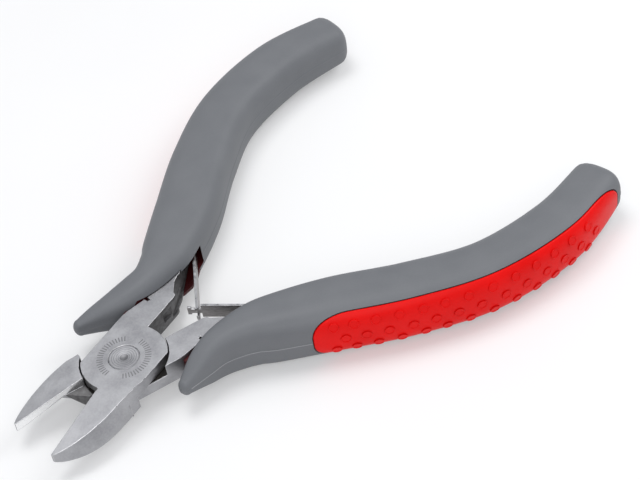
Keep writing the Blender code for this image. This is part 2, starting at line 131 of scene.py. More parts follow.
# %% [markdown]
# ## Nodes written as sums
#
# A shader is a graph, but most of it is arithmetic. `Wire` wraps one output socket and turns
# `+`, `-`, `*`, `/` and `%` into Math nodes, so a mask can be written as `0.40 + cloud * 0.07`.
# Every other node comes from one method, `add`, which takes the node's type, its settings and
# its inputs. The same pair serves the Geometry Nodes trees further down.


# %% Wires and trees
class Wire:
    def __init__(self, tree, socket):
        self.tree, self.socket = tree, socket

    def maths(self, operation, other):
        return self.tree.add("ShaderNodeMath", {"operation": operation}, {0: self, 1: other})

    def __add__(self, other):
        return self.maths("ADD", other)

    def __sub__(self, other):
        return self.maths("SUBTRACT", other)

    def __mul__(self, other):
        return self.maths("MULTIPLY", other)

    def __truediv__(self, other):
        return self.maths("DIVIDE", other)

    def __mod__(self, other):
        return self.maths("MODULO", other)

    def below(self, other):
        return self.maths("LESS_THAN", other)

    __radd__ = __add__


class Tree:
    def __init__(self, tree):
        self.tree = tree

    def add(self, kind, settings=None, inputs=None, output=0):
        node = self.tree.nodes.new(kind)
        for name, value in (settings or {}).items():
            setattr(node, name, value)
        for key, value in (inputs or {}).items():
            self.feed(node.inputs[key], value)
        return Wire(self, node.outputs[output])

    def feed(self, socket, value):
        if isinstance(value, Wire):
            self.tree.links.new(value.socket, socket)
        elif isinstance(value, (list, tuple)) and value and isinstance(value[0], Wire):
            for wire in value:
                self.tree.links.new(wire.socket, socket)
        else:
            socket.default_value = value


# %% [markdown]
# ## What a moulded or blasted surface needs
#
# All the finishes here share one recipe: two close colours that drift into each other over a
# few millimetres, a roughness that drifts with them, and a fine grain that only tilts the
# surface. `Finish` holds that recipe. The noise reads Object coordinates, which are metres, so
# a grain of 0.2 mm needs a scale of 5000. What never varies, such as the sheen of soft
# plastic, is set on the shader's own socket.


# %% The recipe of a finish
class Finish(Tree):
    def __init__(self, name, metallic=0.0, settled=None):
        self.material = bpy.data.materials.new(name)
        self.material.use_nodes = True
        super().__init__(self.material.node_tree)
        self.shader = self.tree.nodes["Principled BSDF"]
        self.shader.inputs["Metallic"].default_value = metallic
        for socket, value in (settled or {}).items():
            self.shader.inputs[socket].default_value = value
        self.place = self.add("ShaderNodeTexCoord", output="Object")

    def noise(self, size_mm, detail=3.0, place=None):
        inputs = {"Vector": place or self.place, "Scale": 1 / (size_mm * MM), "Detail": detail}
        return self.add("ShaderNodeTexNoise", None, inputs)

    def mix(self, factor, first, second):
        settings = {"data_type": "RGBA"}
        return self.add("ShaderNodeMix", settings, {0: factor, 6: first, 7: second}, output=2)

    def spread(self, wire, low, high):
        """Stretches the part of a wire between low and high to 0 to 1."""
        inputs = {"Value": wire, "From Min": low, "From Max": high}
        return self.add("ShaderNodeMapRange", {"clamp": True}, inputs)

    def colour(self, wire):
        self.feed(self.shader.inputs["Base Color"], wire)

    def roughness(self, wire):
        self.feed(self.shader.inputs["Roughness"], wire)

    def relief(self, height, depth_mm, strength=1.0):
        inputs = {"Height": height, "Distance": depth_mm * MM, "Strength": strength}
        self.feed(self.shader.inputs["Normal"], self.add("ShaderNodeBump", None, inputs))
        return self.material


# %% [markdown]
# ## Steel: blasted, rubbed and ground
#
# The halves are forged, ground flat and then blasted with fine beads, which leaves a grey
# satin with no direction in it. Two noises make it: a slow one for the cloudy tone, and a
# fine one that is both the speckle and the relief. The corners, where handling rubs the steel
# bright, and the recesses, which are painted dark as shade and near black as shadow in the
# lap, differ only in tone, size of patch and roughness, so one function makes them all.

# %% Blasted and patchy steel
def blasted_steel():
    steel = Finish("blasted steel", metallic=1.0)
    cloud = steel.spread(steel.noise(4.0), 0.35, 0.65)
    grain = steel.noise(0.38, detail=5.0)
    speck = steel.spread(grain, 0.3, 0.7)
    tone = steel.mix(cloud * 0.6 + speck * 0.4, (0.31, 0.31, 0.325, 1), (0.46, 0.46, 0.475, 1))
    steel.colour(tone)
    steel.roughness(0.40 + cloud * 0.07 + speck * 0.06)
    return steel.relief(grain, 0.02, 0.6)


def patchy_steel(name, tones, patch, roughness, grain, relief, limits=(0.3, 0.7), metallic=1.0):
    """Steel in patches of two tones.

    patch and grain are a size in mm and a detail. roughness is where it starts and how far
    it drifts. relief is a depth in mm and a strength.
    """
    steel = Finish(name, metallic)
    patches = steel.spread(steel.noise(*patch), *limits)
    steel.colour(steel.mix(patches, *tones))
    steel.roughness(roughness[0] + patches * roughness[1])
    return steel.relief(steel.noise(*grain), *relief)


BLASTED = blasted_steel()
RUBBED = patchy_steel("rubbed steel corners", ((0.40, 0.40, 0.41, 1), (0.58, 0.58, 0.59, 1)), (0.9, 4.0),
                      (0.26, 0.10), (0.2, 3.0), (0.006, 0.4), limits=(0.35, 0.65))
# Painted shade: a dark grey steel for the throat, the inner wall and the scoops, standing in for the shade in
# these recesses.
PAINTED_RECESS_SHADE = patchy_steel("scale in the recesses", ((0.10, 0.098, 0.098, 1), (0.22, 0.218, 0.222, 1)), (0.8, 5.0),
                      (0.50, 0.15), (0.35, 5.0), (0.06, 0.6))
# Painted shadow: a near-black, half-metallic finish on the lap's wall and floor, standing in for the deep
# shadow in the gap under the lap.
PAINTED_LAP_SHADOW = patchy_steel("shadowed lap", ((0.010, 0.009, 0.008, 1), (0.035, 0.030, 0.026, 1)), (1.2, 4.0),
                    (0.62, 0.15), (0.3, 3.0), (0.02, 0.5), metallic=0.6)
STAMPED = patchy_steel("stamped marks", ((0.190, 0.190, 0.198, 1), (0.270, 0.270, 0.280, 1)), (0.6, 3.0),
                       (0.46, 0.10), (0.25, 3.0), (0.01, 0.4))

# %% [markdown]
# The cutting edges are ground last, on a fine wheel, so they are the only part that mirrors,
# and fine lines run along them; their near-white tone is partly a painted reflection of the
# bright surroundings. The leaf springs are rolled strip, which has such lines too.
# A Mapping node before the noise stretches its specks into lines: an axis with a small scale
# is the axis that they run along.

# %% Lined steel
def lined_steel(name, tones, stretch, line, roughness, relief):
    steel = Finish(name, metallic=1.0)
    stretched = steel.add("ShaderNodeMapping", None, {"Vector": steel.place, "Scale": stretch})
    lines = steel.noise(*line, place=stretched)
    steel.colour(steel.mix(steel.spread(lines, 0.3, 0.7), *tones))
    steel.roughness(roughness[0] + lines * roughness[1])
    return steel.relief(lines, *relief)


# Painted reflection: the ground edge's near-white tones stand in for the bright surroundings that it mirrors.
GROUND_WITH_PAINTED_REFLECTION = lined_steel("ground cutting edge", ((0.86, 0.86, 0.87, 1), (0.97, 0.97, 0.97, 1)), (0.05, 1.0, 1.0),
                     (0.12, 5.0), (0.16, 0.14), (0.004, 0.5))
SPRING_STRIP = lined_steel("rolled spring strip", ((0.20, 0.19, 0.19, 1), (0.32, 0.31, 0.31, 1)),
                           (0.15, 0.15, 1.0), (0.15, 4.0), (0.24, 0.16), (0.004, 0.4))
STEELS = (BLASTED, RUBBED, GROUND_WITH_PAINTED_REFLECTION, PAINTED_RECESS_SHADE, PAINTED_LAP_SHADOW, STAMPED, SPRING_STRIP)
print("steel finishes:", [steel.name for steel in STEELS])

# %% [markdown]
# ## Soft plastics
#
# The covers are a grey thermoplastic rubber from a spark-eroded mould, so they have a very
# fine, even pebble and a weak sheen. The pads are a softer red rubber, smoother and a little
# shinier. A painted shade attribute, where a mesh has one, darkens the foot of small raised
# shapes as shade. The core is a hard red plastic that only shows, in its own shadow, where the
# steel goes in, and that shade is painted into its dark colour. Skin oil and dust leave faint
# cloudy patches on all of them.

# %% Plastic finishes
# Painted shade at the foot of raised shapes: how dark it is, and how much of it shows.
PAINTED_SHADE_TONE, PAINTED_SHADE_STRENGTH = 0.30, 0.65  # how dark a crevice is, and how much of it shows


def moulded(name, low, high, roughness, pebble_mm, pebble_depth, settled):
    skin = Finish(name, settled=settled)
    cloud = skin.spread(skin.noise(7.0), 0.3, 0.7)
    pebble = skin.noise(pebble_mm, detail=2.0)
    clean = skin.mix(cloud * 0.7 + skin.spread(pebble, 0.3, 0.7) * 0.3, low, high)
    # Painted shade: darkens the colour where the attribute marks the foot of a raised shape.
    crevice = skin.add("ShaderNodeAttribute", {"attribute_name": "crevice"}, output=2)
    shade = tuple(channel * PAINTED_SHADE_TONE for channel in low[:3]) + (1,)
    skin.colour(skin.mix(crevice * PAINTED_SHADE_STRENGTH, clean, shade))
    skin.roughness(roughness + cloud * 0.08 + pebble * 0.06)
    return skin.relief(pebble, pebble_depth, 0.6)


GREY = moulded("grey grip rubber", (0.136, 0.142, 0.153, 1), (0.160, 0.166, 0.177, 1), 0.44, 0.28, 0.018,
               {"Specular IOR Level": 0.35})
# Painted highlight: the seam bead is a lighter grey than the cover, standing in for the light that its ridge
# catches.
SEAM_PAINTED_HIGHLIGHT = moulded("mould seam", (0.24, 0.245, 0.255, 1), (0.29, 0.295, 0.305, 1), 0.40, 0.28, 0.01,
                {"Specular IOR Level": 0.5})
RED = moulded("red pad rubber", (0.68, 0.0034, 0.0028, 1), (0.80, 0.0050, 0.0042, 1), 0.30, 0.35, 0.010,
              {"Specular IOR Level": 0.12})
# Painted shade: the core's red darkened to the shade it shows in the mouth of the cover and inside its rooms.
CORE_RED_PAINTED_SHADE = moulded("dark red core", (0.040, 0.004, 0.005, 1), (0.070, 0.006, 0.007, 1), 0.42, 0.3, 0.01,
                   {"Specular IOR Level": 0.3})
print("plastic finishes:", [plastic.name for plastic in (GREY, SEAM_PAINTED_HIGHLIGHT, RED, CORE_RED_PAINTED_SHADE)])

# %% [markdown]
# ## Solids from outlines, sections and profiles
#
# Three kinds of solid are enough for most of the cutter. A plate is an outline in plan
# between two heights, a loft is a row of sections that have the same number of points, and a
# turned piece is a profile swept round the pivot. A joint between two solids is a Boolean
# modifier, which is evaluated at once, so that the result is a plain mesh again.


# %% Solids and how they join
TURN_STEPS, SAME_POINT = 128, 1e-4


def mesh_from(built, name):
    bmesh.ops.recalc_face_normals(built, faces=built.faces)
    mesh = bpy.data.meshes.new(name)
    built.to_mesh(mesh)
    built.free()
    return mesh


def plate(name, outline, low, high):
    built = bmesh.new()
    ends = [[built.verts.new((x, y, z)) for x, y in outline] for z in (low, high)]
    for ring in ends:
        built.faces.new(ring)
    for index in range(len(outline)):
        after = (index + 1) % len(outline)
        built.faces.new((ends[0][index], ends[0][after], ends[1][after], ends[1][index]))
    return mesh_from(built, name)


def loft(name, sections):
    built = bmesh.new()
    rings = [[built.verts.new(point) for point in section] for section in sections]
    for ring, following in zip(rings, rings[1:]):
        for index in range(len(ring)):
            after = (index + 1) % len(ring)
            built.faces.new((ring[index], ring[after], following[after], following[index]))
    built.faces.new(rings[0])
    built.faces.new(rings[-1])
    return mesh_from(built, name)


def turned(name, profile):
    """A round solid about the pivot from (radius, height) points, the first and last on the axis."""
    built = bmesh.new()
    chain = [built.verts.new((radius, 0, height)) for radius, height in profile]
    edges = [built.edges.new(pair) for pair in zip(chain, chain[1:])]
    bmesh.ops.spin(built, geom=chain + edges, axis=(0, 0, 1), cent=(0, 0, 0), angle=math.tau,
                   steps=TURN_STEPS)
    bmesh.ops.remove_doubles(built, verts=built.verts, dist=SAME_POINT)
    return mesh_from(built, name)


def joined(mesh, other, operation, lining=None):
    """One solid with another added or taken away. New inner faces can take a lining of their own."""
    if lining:
        other.materials.append(lining)
    holders = [holder_of(mesh), holder_of(other)]
    boolean = holders[0].modifiers.new("Join", "BOOLEAN")
    boolean.operation, boolean.object, boolean.solver = operation, holders[1], "EXACT"
    boolean.material_mode = "TRANSFER" if lining else "INDEX"
    bpy.context.view_layer.update()
    result = plain_mesh(holders[0], mesh.name)
    bpy.data.objects.remove(holders[1])
    return result


# %% [markdown]
# ## Lines in plan
#
# The tang and the grips follow smooth lines. A Catmull-Rom curve passes through every point
# that it is given, so each point says where the line really goes. A row can carry more than
# x and y: the grips' rows carry their widths too, and all of them change smoothly together.


# %% Smooth lines and offsets
def curve_row(rows, place):
    """The row at a place on the curve through the rows. Place 2.5 is half-way from row 2 to 3."""
    index = min(int(place), len(rows) - 2)
    t = place - index
    before, after = rows[max(index - 1, 0)], rows[min(index + 2, len(rows) - 1)]
    four = (before, rows[index], rows[index + 1], after)
    weights = (-t / 2 + t * t - t**3 / 2, 1 - 2.5 * t * t + 1.5 * t**3,
               t / 2 + 2 * t * t - 1.5 * t**3, (t**3 - t * t) / 2)
    return [sum(weight * value for weight, value in zip(weights, values)) for values in zip(*four)]


def smooth_line(rows, steps):
    return [curve_row(rows, step / steps) for step in range((len(rows) - 1) * steps + 1)]


def direction(line, index):
    back, ahead = line[max(index - 1, 0)], line[min(index + 1, len(line) - 1)]
    return Vector((ahead[0] - back[0], ahead[1] - back[1])).normalized()


def beside(line, distance):
    """The line moved to its left."""
    moved = []
    for index, point in enumerate(line):
        along = direction(line, index)
        moved.append((point[0] - along.y * distance, point[1] + along.x * distance))
    return moved


def band(line, half_width):
    return beside(line, half_width) + beside(line, -half_width)[::-1]


def arc(radius, start, end, steps):
    angles = [math.radians(start + (end - start) * step / steps) for step in range(steps + 1)]
    return [(radius * math.cos(angle), radius * math.sin(angle)) for angle in angles]


def between(low, high, share):
    return low + (high - low) * share


# %% [markdown]
# ## The plan of a steel half
#
# Each half is one forging: a jaw, a round lap at half thickness, two straight flanks and a
# tang that runs back into the grip. The lap is a circle of 7.7 mm, cut straight on both sides
# at 6.3 mm, which gives the head its narrow waist.

# %% Outline of the head and tang
LAP_RADIUS, LAP_ROOM_RADIUS, LAP_SPLIT = 7.7, 7.92, 0.05
LAP_STEPS = 36
HEAD_HALF_WIDTH = 6.3
JAW_ROOT_X, JAW_TIP_X, EDGE_Y = -7.0, -21.6, 0.15
TANG_HALF_WIDTH, TANG_INNER_Y = 2.2, 0.45
TANG_LINE = smooth_line([(17.5, 3.7), (22.5, 6.4), (30.0, 10.0), (40.0, 14.4), (52.0, 18.9),
                         (64.0, 21.2), (72.0, 21.3)], 6)
OUTER_FLANK = [(6.6, HEAD_HALF_WIDTH), (7.8, 6.27), (8.8, 6.12), (9.6, 5.9), (11.5, 5.35), (13.5, 4.75)]
INNER_STEP = [(16.7, 1.15), (16.1, 0.62), (15.5, TANG_INNER_Y), (14.6, TANG_INNER_Y)]
TINY_STEP = 0.05  # keeps two surfaces apart, where a cut along one of them would be ragged


def lap_angle(y):
    """The angle, in degrees, at which the lap's circle reaches a height in plan."""
    return math.degrees(math.asin(y / LAP_RADIUS))


def half_outline():
    corner = lap_angle(HEAD_HALF_WIDTH)
    outline = [(JAW_ROOT_X, TINY_STEP - HEAD_HALF_WIDTH), (JAW_ROOT_X, -EDGE_Y)]
    outline += arc(LAP_RADIUS, 180 + lap_angle(EDGE_Y), 180 - corner, LAP_STEPS)
    outline += OUTER_FLANK
    outline += beside(TANG_LINE, TANG_HALF_WIDTH)
    outline += beside(TANG_LINE, -TANG_HALF_WIDTH)[::-1]
    outline += INNER_STEP
    outline += arc(LAP_RADIUS, lap_angle(TANG_INNER_Y), -corner, LAP_STEPS)
    return outline


print("outline points:", len(half_outline()))

# %% [markdown]
# ## The jaw
#
# A jaw is a wedge in plan and in height. Its top stays level as far as the joint's shoulder
# and then falls to the tip, its outer flank leans outwards to a wider foot, and a hollow under
# the cutting edge leaves only a narrow ground strip. A loft suits it, because every section
# has the same corners in the same order. The flank is given two extra points, so that it is
# faintly crowned instead of flat. The loft starts with a smaller section inside the head, so
# that no face of the jaw lies in the plane of the head's own faces there.

# %% Sections of the jaw
SLOPE_START_X, THROAT_X, RELIEF_X = -8.6, -9.4, -12.0
RELIEF_DEPTH, RELIEF_HEIGHT, TIP_WIDTH = 2.6, 0.7, 0.5
RIDGE_WIDTH, FOOT_WIDTH, FOOT_RISE = 5.15, 5.65, 0.5  # at the root, besides the width of the tip
CROWN, CROWN_REACH = 0.16, 3.0  # the flank's swell, and how far behind the root it fades in
JAW_STEP, ROOT_OVERLAP = 0.6, 0.6


def relief_at(x, foot):
    """The height of the cutting edge's lower side and the depth of the hollow under it."""
    strip, shallow = foot + TINY_STEP, EDGE_Y + TINY_STEP
    if x >= THROAT_X:
        return strip, shallow
    if x >= RELIEF_X:
        share = (THROAT_X - x) / (THROAT_X - RELIEF_X)
        return between(strip, RELIEF_HEIGHT, share), between(shallow, RELIEF_DEPTH, share)
    share = (RELIEF_X - x) / (RELIEF_X - JAW_TIP_X)
    return between(RELIEF_HEIGHT, strip, share), between(RELIEF_DEPTH, 2 * EDGE_Y, share)


def jaw_section(x):
    share = (JAW_ROOT_X - x) / (JAW_ROOT_X - JAW_TIP_X)
    top = STEEL_HALF * (1 - max(0.0, SLOPE_START_X - x) / (SLOPE_START_X - JAW_TIP_X))
    foot = -STEEL_HALF + FOOT_RISE * share**3
    ridge_y = TIP_WIDTH + RIDGE_WIDTH * (1 - share**1.75) ** 0.85
    foot_y = TIP_WIDTH + 0.1 + FOOT_WIDTH * (1 - share**3) ** 0.8
    edge, relief_y = relief_at(x, foot)
    swell = CROWN * (foot_y - EDGE_Y) / 6 * min(1.0, (JAW_ROOT_X - x) / CROWN_REACH)
    flank = []
    for drop in (0.33, 0.67):
        out = between(ridge_y, foot_y, drop) + swell * math.sin(math.pi * drop)
        flank.append((x, -out, between(top, foot, drop)))
    corners = [(x, -EDGE_Y, top), (x, -ridge_y, top), *flank, (x, -foot_y, foot)]
    return corners + [(x, -relief_y, foot), (x, -EDGE_Y, edge)]


def jaw():
    stations = [JAW_ROOT_X, SLOPE_START_X, THROAT_X, (THROAT_X + RELIEF_X) / 2]
    stations += [RELIEF_X - JAW_STEP * step for step in range(16)] + [JAW_TIP_X]
    sections = [jaw_section(x) for x in stations]
    root = [(JAW_ROOT_X + ROOT_OVERLAP, y * 0.9, z * 0.98) for _, y, z in sections[0]]
    return loft("jaw", [root] + sections)


# %% [markdown]
# ## The throat
#
# Under the lap, the rear half keeps a block of metal in its throat, where the jaw runs into
# the lap, and the front half is hollowed to let it in. It is a plain convex block, so the
# convex hull of its corners makes it.

# %% The block in the throat
THROAT_BLOCK = [(-12.0, -0.3, 0.7), (-12.0, -1.0, 0.4), (-9.4, 1.3, -STEEL_HALF), (-8.3, 2.2, -STEEL_HALF),
                (-8.3, 2.2, -0.1), (-6.5, 2.0, -STEEL_HALF), (-6.5, 2.0, -0.1), (-7.0, -2.5, -STEEL_HALF),
                (-9.6, -2.5, -STEEL_HALF), (-7.0, -2.5, 0.5), (-8.6, -0.3, 0.7)]


def hull(name, corners):
    built = bmesh.new()
    for corner in corners:
        built.verts.new(corner)
    found = bmesh.ops.convex_hull(built, input=built.verts)
    inside = found["geom_interior"] + found["geom_unused"]
    loose = {item for item in inside if isinstance(item, bmesh.types.BMVert)}
    bmesh.ops.delete(built, geom=list(loose), context="VERTS")
    return mesh_from(built, name)


def throat_room(gap):
    """The block as the other half sees it, with a gap all round."""
    steps = [(a, b, c) for a in (-gap, gap) for b in (-gap, gap) for c in (-gap, gap)]
    return hull("room", [(x + a, b - y, z + c) for x, y, z in THROAT_BLOCK for a, b, c in steps])


# %% [markdown]
# Where the head runs into the jaw, its side leans over from upright to the slope of the jaw's
# flank. One slanting cut does it: it starts as nothing at the middle of the head's top edge
# and reaches the full lean at the root of the jaw.

# %% The lean of the head's side
LEAN_TOP = [(-1.5, -6.31, 2.4), (-7.0, -5.64, 2.4), (-8.0, -5.52, 2.4)]
LEAN_FOOT = [(-6.4, -6.31, -2.4), (-7.0, -6.24, -2.4), (-8.0, -6.12, -2.4)]


def side_lean():
    slope = LEAN_TOP + LEAN_FOOT
    return hull("lean", slope + [(x, -LAP_RADIUS - 0.3, z) for x, _, z in slope])


# %% [markdown]
# ## Cutting and rounding a half
#
# The lap room takes the other half's layer away and a bore takes the rivet. At the root of
# the tang, a rough scoop and two narrow rooms keep clear of the leaf springs, and a small
# notch breaks the outer edge. A Bevel modifier then rounds every corner by about a tenth of a
# millimetre. That rounding matters more than any texture: it is what catches a line of light
# along the edges of real steel. Points that a cut leaves very close together are merged
# first, because a bevel between them would stick out as a spike.

# %% Rooms for the leaf springs
FOLDED_LEAF = [(29.8, 6.47), (13.6, -0.24)]  # where the leaf lies when the cutter is closed
OTHER_LEAF_END = [(11.8, 0.2), (14.9, 0.2), (13.9, 0.85), (11.8, 1.35)]
SCOOP = [(15.9, 0.2), (16.5, 1.25), (18.7, 2.65), (20.1, 3.05), (21.2, 2.9), (19.0, 0.2)]
SCOOP_LOW, LEAF_ROOM_HALF_WIDTH = -0.6, 0.5
FORK_ROOM_HALF, TONGUE_ROOM_HALF = 1.75, 1.05  # half heights


def leaf_rooms(upper, reach):
    tall = TONGUE_ROOM_HALF if upper else FORK_ROOM_HALF
    leaf_line = band(FOLDED_LEAF, LEAF_ROOM_HALF_WIDTH)
    return [plate("scoop", SCOOP, SCOOP_LOW, reach),
            plate("leaf_room", leaf_line, -FORK_ROOM_HALF, FORK_ROOM_HALF),
            plate("end_room", OTHER_LEAF_END, -tall, tall)]


# %% Cut a half
RIVET_HEAD, BORE_GAP = 2.75, 0.03
BLOCK_GAP = 0.3
LAP_ROOT = [(-6.2, -8.0), (-6.2, -3.0), (-3.0, -3.0), (-3.0, -8.0)]
NOTCH, NOTCH_LOW = [(12.6, 4.2), (13.1, 4.0), (13.4, 5.6), (12.9, 5.8)], 1.6
PAST = 1.0  # how far a cutting solid stands out of what it cuts


def round_room(name, radius, low, high):
    return turned(name, [(0, high), (radius, high), (radius, low), (0, low)])


def steel_half(name, upper):
    half = joined(plate(name, half_outline(), -STEEL_HALF, STEEL_HALF), side_lean(), "DIFFERENCE")
    half = joined(half, jaw(), "UNION")
    if upper:
        half = joined(half, throat_room(BLOCK_GAP), "DIFFERENCE")
    else:
        half = joined(half, hull("block", THROAT_BLOCK), "UNION")
    reach = STEEL_HALF + PAST
    low, high = (-reach, LAP_SPLIT) if upper else (-LAP_SPLIT, reach)
    cuts = [round_room("lap_room", LAP_ROOM_RADIUS, low, high),
            round_room("bore", RIVET_HEAD + BORE_GAP, -reach, reach)]
    if not upper:
        cuts.append(plate("root", LAP_ROOT, LAP_SPLIT, reach))
    cuts += leaf_rooms(upper, reach) + [plate("notch", NOTCH, NOTCH_LOW, reach)]
    for cut in cuts:
        half = joined(half, cut, "DIFFERENCE")
    return half


# %% Round the corners
CLOSE_POINTS = 0.04
FLAT_ANGLE, CORNER_ANGLE = math.radians(0.4), math.radians(32)
BEVEL_SEGMENTS = 3


def rounded(mesh, width, material_index):
    cleaned = bmesh.new()
    cleaned.from_mesh(mesh)
    bmesh.ops.remove_doubles(cleaned, verts=cleaned.verts, dist=CLOSE_POINTS)
    bmesh.ops.dissolve_limit(cleaned, angle_limit=FLAT_ANGLE, verts=cleaned.verts, edges=cleaned.edges)
    cleaned.to_mesh(mesh)
    cleaned.free()
    holder = holder_of(mesh)
    bevel = holder.modifiers.new("Round", "BEVEL")
    bevel.width, bevel.segments = width, BEVEL_SEGMENTS
    bevel.limit_method, bevel.angle_limit = "ANGLE", CORNER_ANGLE
    bevel.material, bevel.use_clamp_overlap = material_index, False
    for _ in range(material_index + 1):
        mesh.materials.append(None)
    return plain_mesh(holder, mesh.name)


# %% [markdown]
# ## Sharing out the finishes
#
# The finish of a face follows from where it is and which way it faces: the strip along the
# cutting edge is ground and carries a painted reflection in its pale tone, the lap's wall and
# floor get a painted shadow, the hollows that a wheel never reaches get painted shade, the
# rounded corners are rubbed unless they lie in such a hollow, where they get the painted
# shade too, and the rest is blasted.

# %% Make the two halves
STEEL_FINISHES = [BLASTED, GROUND_WITH_PAINTED_REFLECTION, PAINTED_RECESS_SHADE, RUBBED, PAINTED_LAP_SHADOW]
IS_BLASTED, IS_GROUND_WITH_PAINTED_REFLECTION, IS_PAINTED_RECESS_SHADE, IS_RUBBED, IS_PAINTED_LAP_SHADOW = range(len(STEEL_FINISHES))
HALF_ROUNDING = 0.09
GROUND_FROM_X = -8.0
WALL_FRONT, WALL_BACK = 7.0, 15.6  # the straight inner wall behind the lap
SCOOP_BACK, CORNERS_FRONT = 30.0, 11.0
TANG_SLOPE = 0.41  # the tang's inner side rises by this much for each step back
SCOOP_SIDE, SCOOP_CORNERS = -4.6, -3.6  # y where lines of that slope cross x = 0
END_ROOM_FRONT, END_ROOM_BACK, END_ROOM_SIDE, END_ROOM_HALF = 11.7, 15.0, 1.5, 1.2


def in_scoop(x, y, z, normal):
    beside_tang = WALL_BACK < x < SCOOP_BACK and y < TANG_SLOPE * x + SCOOP_SIDE
    below_top = z < STEEL_HALF - TINY_STEP and normal.y < 0.3
    in_end_room = END_ROOM_FRONT < x < END_ROOM_BACK and y < END_ROOM_SIDE and abs(z) < END_ROOM_HALF
    return (beside_tang and below_top) or in_end_room


# Painted shade goes on the throat, the inner wall, the scoop and the corners by the leaves.
def finish_of(face):
    (x, y, z), normal = face.center, face.normal
    throat = x < JAW_ROOT_X + ROOT_OVERLAP and y > TINY_STEP - EDGE_Y
    if face.material_index == IS_RUBBED:
        by_leaves = CORNERS_FRONT < x < SCOOP_BACK and y < TANG_SLOPE * x + SCOOP_CORNERS and abs(z) < 2.1
        return IS_PAINTED_RECESS_SHADE if (throat and y > 0.0) or by_leaves else IS_RUBBED
    # The cutting strip takes the ground finish with its painted reflection.
    if abs(y + EDGE_Y) < 0.03 and abs(normal.y) > 0.95 and x < GROUND_FROM_X:
        return IS_GROUND_WITH_PAINTED_REFLECTION
    # The lap's wall and floor get the painted shadow.
    lap_wall = abs(math.hypot(x, y) - LAP_ROOM_RADIUS) < 0.12 and abs(normal.z) < 0.2
    lap_floor = abs(abs(z) - LAP_SPLIT) < 0.02 and abs(normal.z) > 0.9
    if lap_wall or lap_floor:
        return IS_PAINTED_LAP_SHADOW
    inner_wall = WALL_FRONT < x < WALL_BACK and abs(y - TANG_INNER_Y) < 0.2 and abs(normal.z) < 0.3
    return IS_PAINTED_RECESS_SHADE if throat or inner_wall or in_scoop(x, y, z, normal) else IS_BLASTED


for arm, node in (("left", "front_half"), ("right", "rear_half")):
    half_mesh = rounded(steel_half(node + "_steel", node == "front_half"), HALF_ROUNDING, IS_RUBBED)
    for face in half_mesh.polygons:
        face.material_index = finish_of(face)
    finish_piece(half_mesh, node + "_steel", arm, STEEL_FINISHES, [node])

# %% [markdown]
# ## Recipes for what repeats
#
# The turned rings, the stamped strokes and the studs are each one small shape, many times
# over. Geometry Nodes suit that: the shape is made once and instanced, and the counts and
# sizes stay named inputs of the tree. `Recipe` builds such a tree with the same `add` as the
# finishes, and `baked` runs it once and keeps the plain mesh.


# %% A holder for Geometry Nodes trees
class Recipe(Tree):
    """A Geometry Nodes tree with named inputs, which are set by their identifiers."""

    def __init__(self, name, sizes):
        group = bpy.data.node_groups.new(name, "GeometryNodeTree")
        super().__init__(group)
        group.interface.new_socket("Geometry", in_out="INPUT", socket_type="NodeSocketGeometry")
        group.interface.new_socket("Geometry", in_out="OUTPUT", socket_type="NodeSocketGeometry")
        self.keys = {}
        for label, value in sizes.items():
            kind = "NodeSocketInt" if isinstance(value, int) else "NodeSocketFloat"
            self.keys[label] = group.interface.new_socket(label, in_out="INPUT", socket_type=kind).identifier
        self.sizes = sizes
        self.start = group.nodes.new("NodeGroupInput")

    def size(self, label):
        return Wire(self, self.start.outputs[label])

    def baked(self, geometry, material, mesh=None):
        """Ends the tree, runs it on a mesh and returns what it makes."""
        flat = self.add("GeometryNodeRealizeInstances", None, {0: geometry})
        smooth = self.add("GeometryNodeSetShadeSmooth", None, {0: flat})
        painted = self.add("GeometryNodeSetMaterial", None, {0: smooth, "Material": material})
        end = self.tree.nodes.new("NodeGroupOutput")
        self.tree.links.new(painted.socket, end.inputs[0])
        holder = holder_of(mesh or bpy.data.meshes.new("empty"))
        modifier = holder.modifiers.new(self.tree.name, "NODES")
        modifier.node_group = self.tree
        for label, value in self.sizes.items():
            modifier[self.keys[label]] = value
        return plain_mesh(holder, self.tree.name)


# %% [markdown]
# ## The rivet and its turned rings
#
# The rivet is peened over and then turned flush with the joint on a lathe, which leaves
# fine rings about its centre and a small dimple. The body is one profile spun about the
# axis, and its faces within the dimple get the darker finish. The rings repeat, so a recipe
# makes them: one circle is instanced at one point, each copy a step larger than the last,
# and given a thin round section that is sunk most of the way into the face.

# %% Rivet
DIMPLE_RADIUS = 0.78
RIVET_FACE = [(0, 0.16), (0.35, 0.14), (0.62, 0.05), (DIMPLE_RADIUS, 0.01), (RIVET_HEAD - 0.06, 0.01),
              (RIVET_HEAD, 0.07)]  # radius, and depth below the steel's face
rivet_profile = [(radius, STEEL_HALF - depth) for radius, depth in RIVET_FACE]
rivet_profile += [(radius, depth - STEEL_HALF) for radius, depth in reversed(RIVET_FACE)]
rivet_mesh = turned("rivet", rivet_profile)
for _ in range(2):
    rivet_mesh.materials.append(None)
for face in rivet_mesh.polygons:
    face.material_index = int(math.hypot(*face.center[:2]) < DIMPLE_RADIUS)
finish_piece(rivet_mesh, "rivet_body", "right", [BLASTED, STAMPED], ["pivot_rivet"])

# %% Turned rings
RING_DEPTH = 0.045


def circle_of(recipe, resolution, radius):
    sizes = {"Resolution": resolution, "Radius": radius}
    return recipe.add("GeometryNodeCurvePrimitiveCircle", None, sizes)


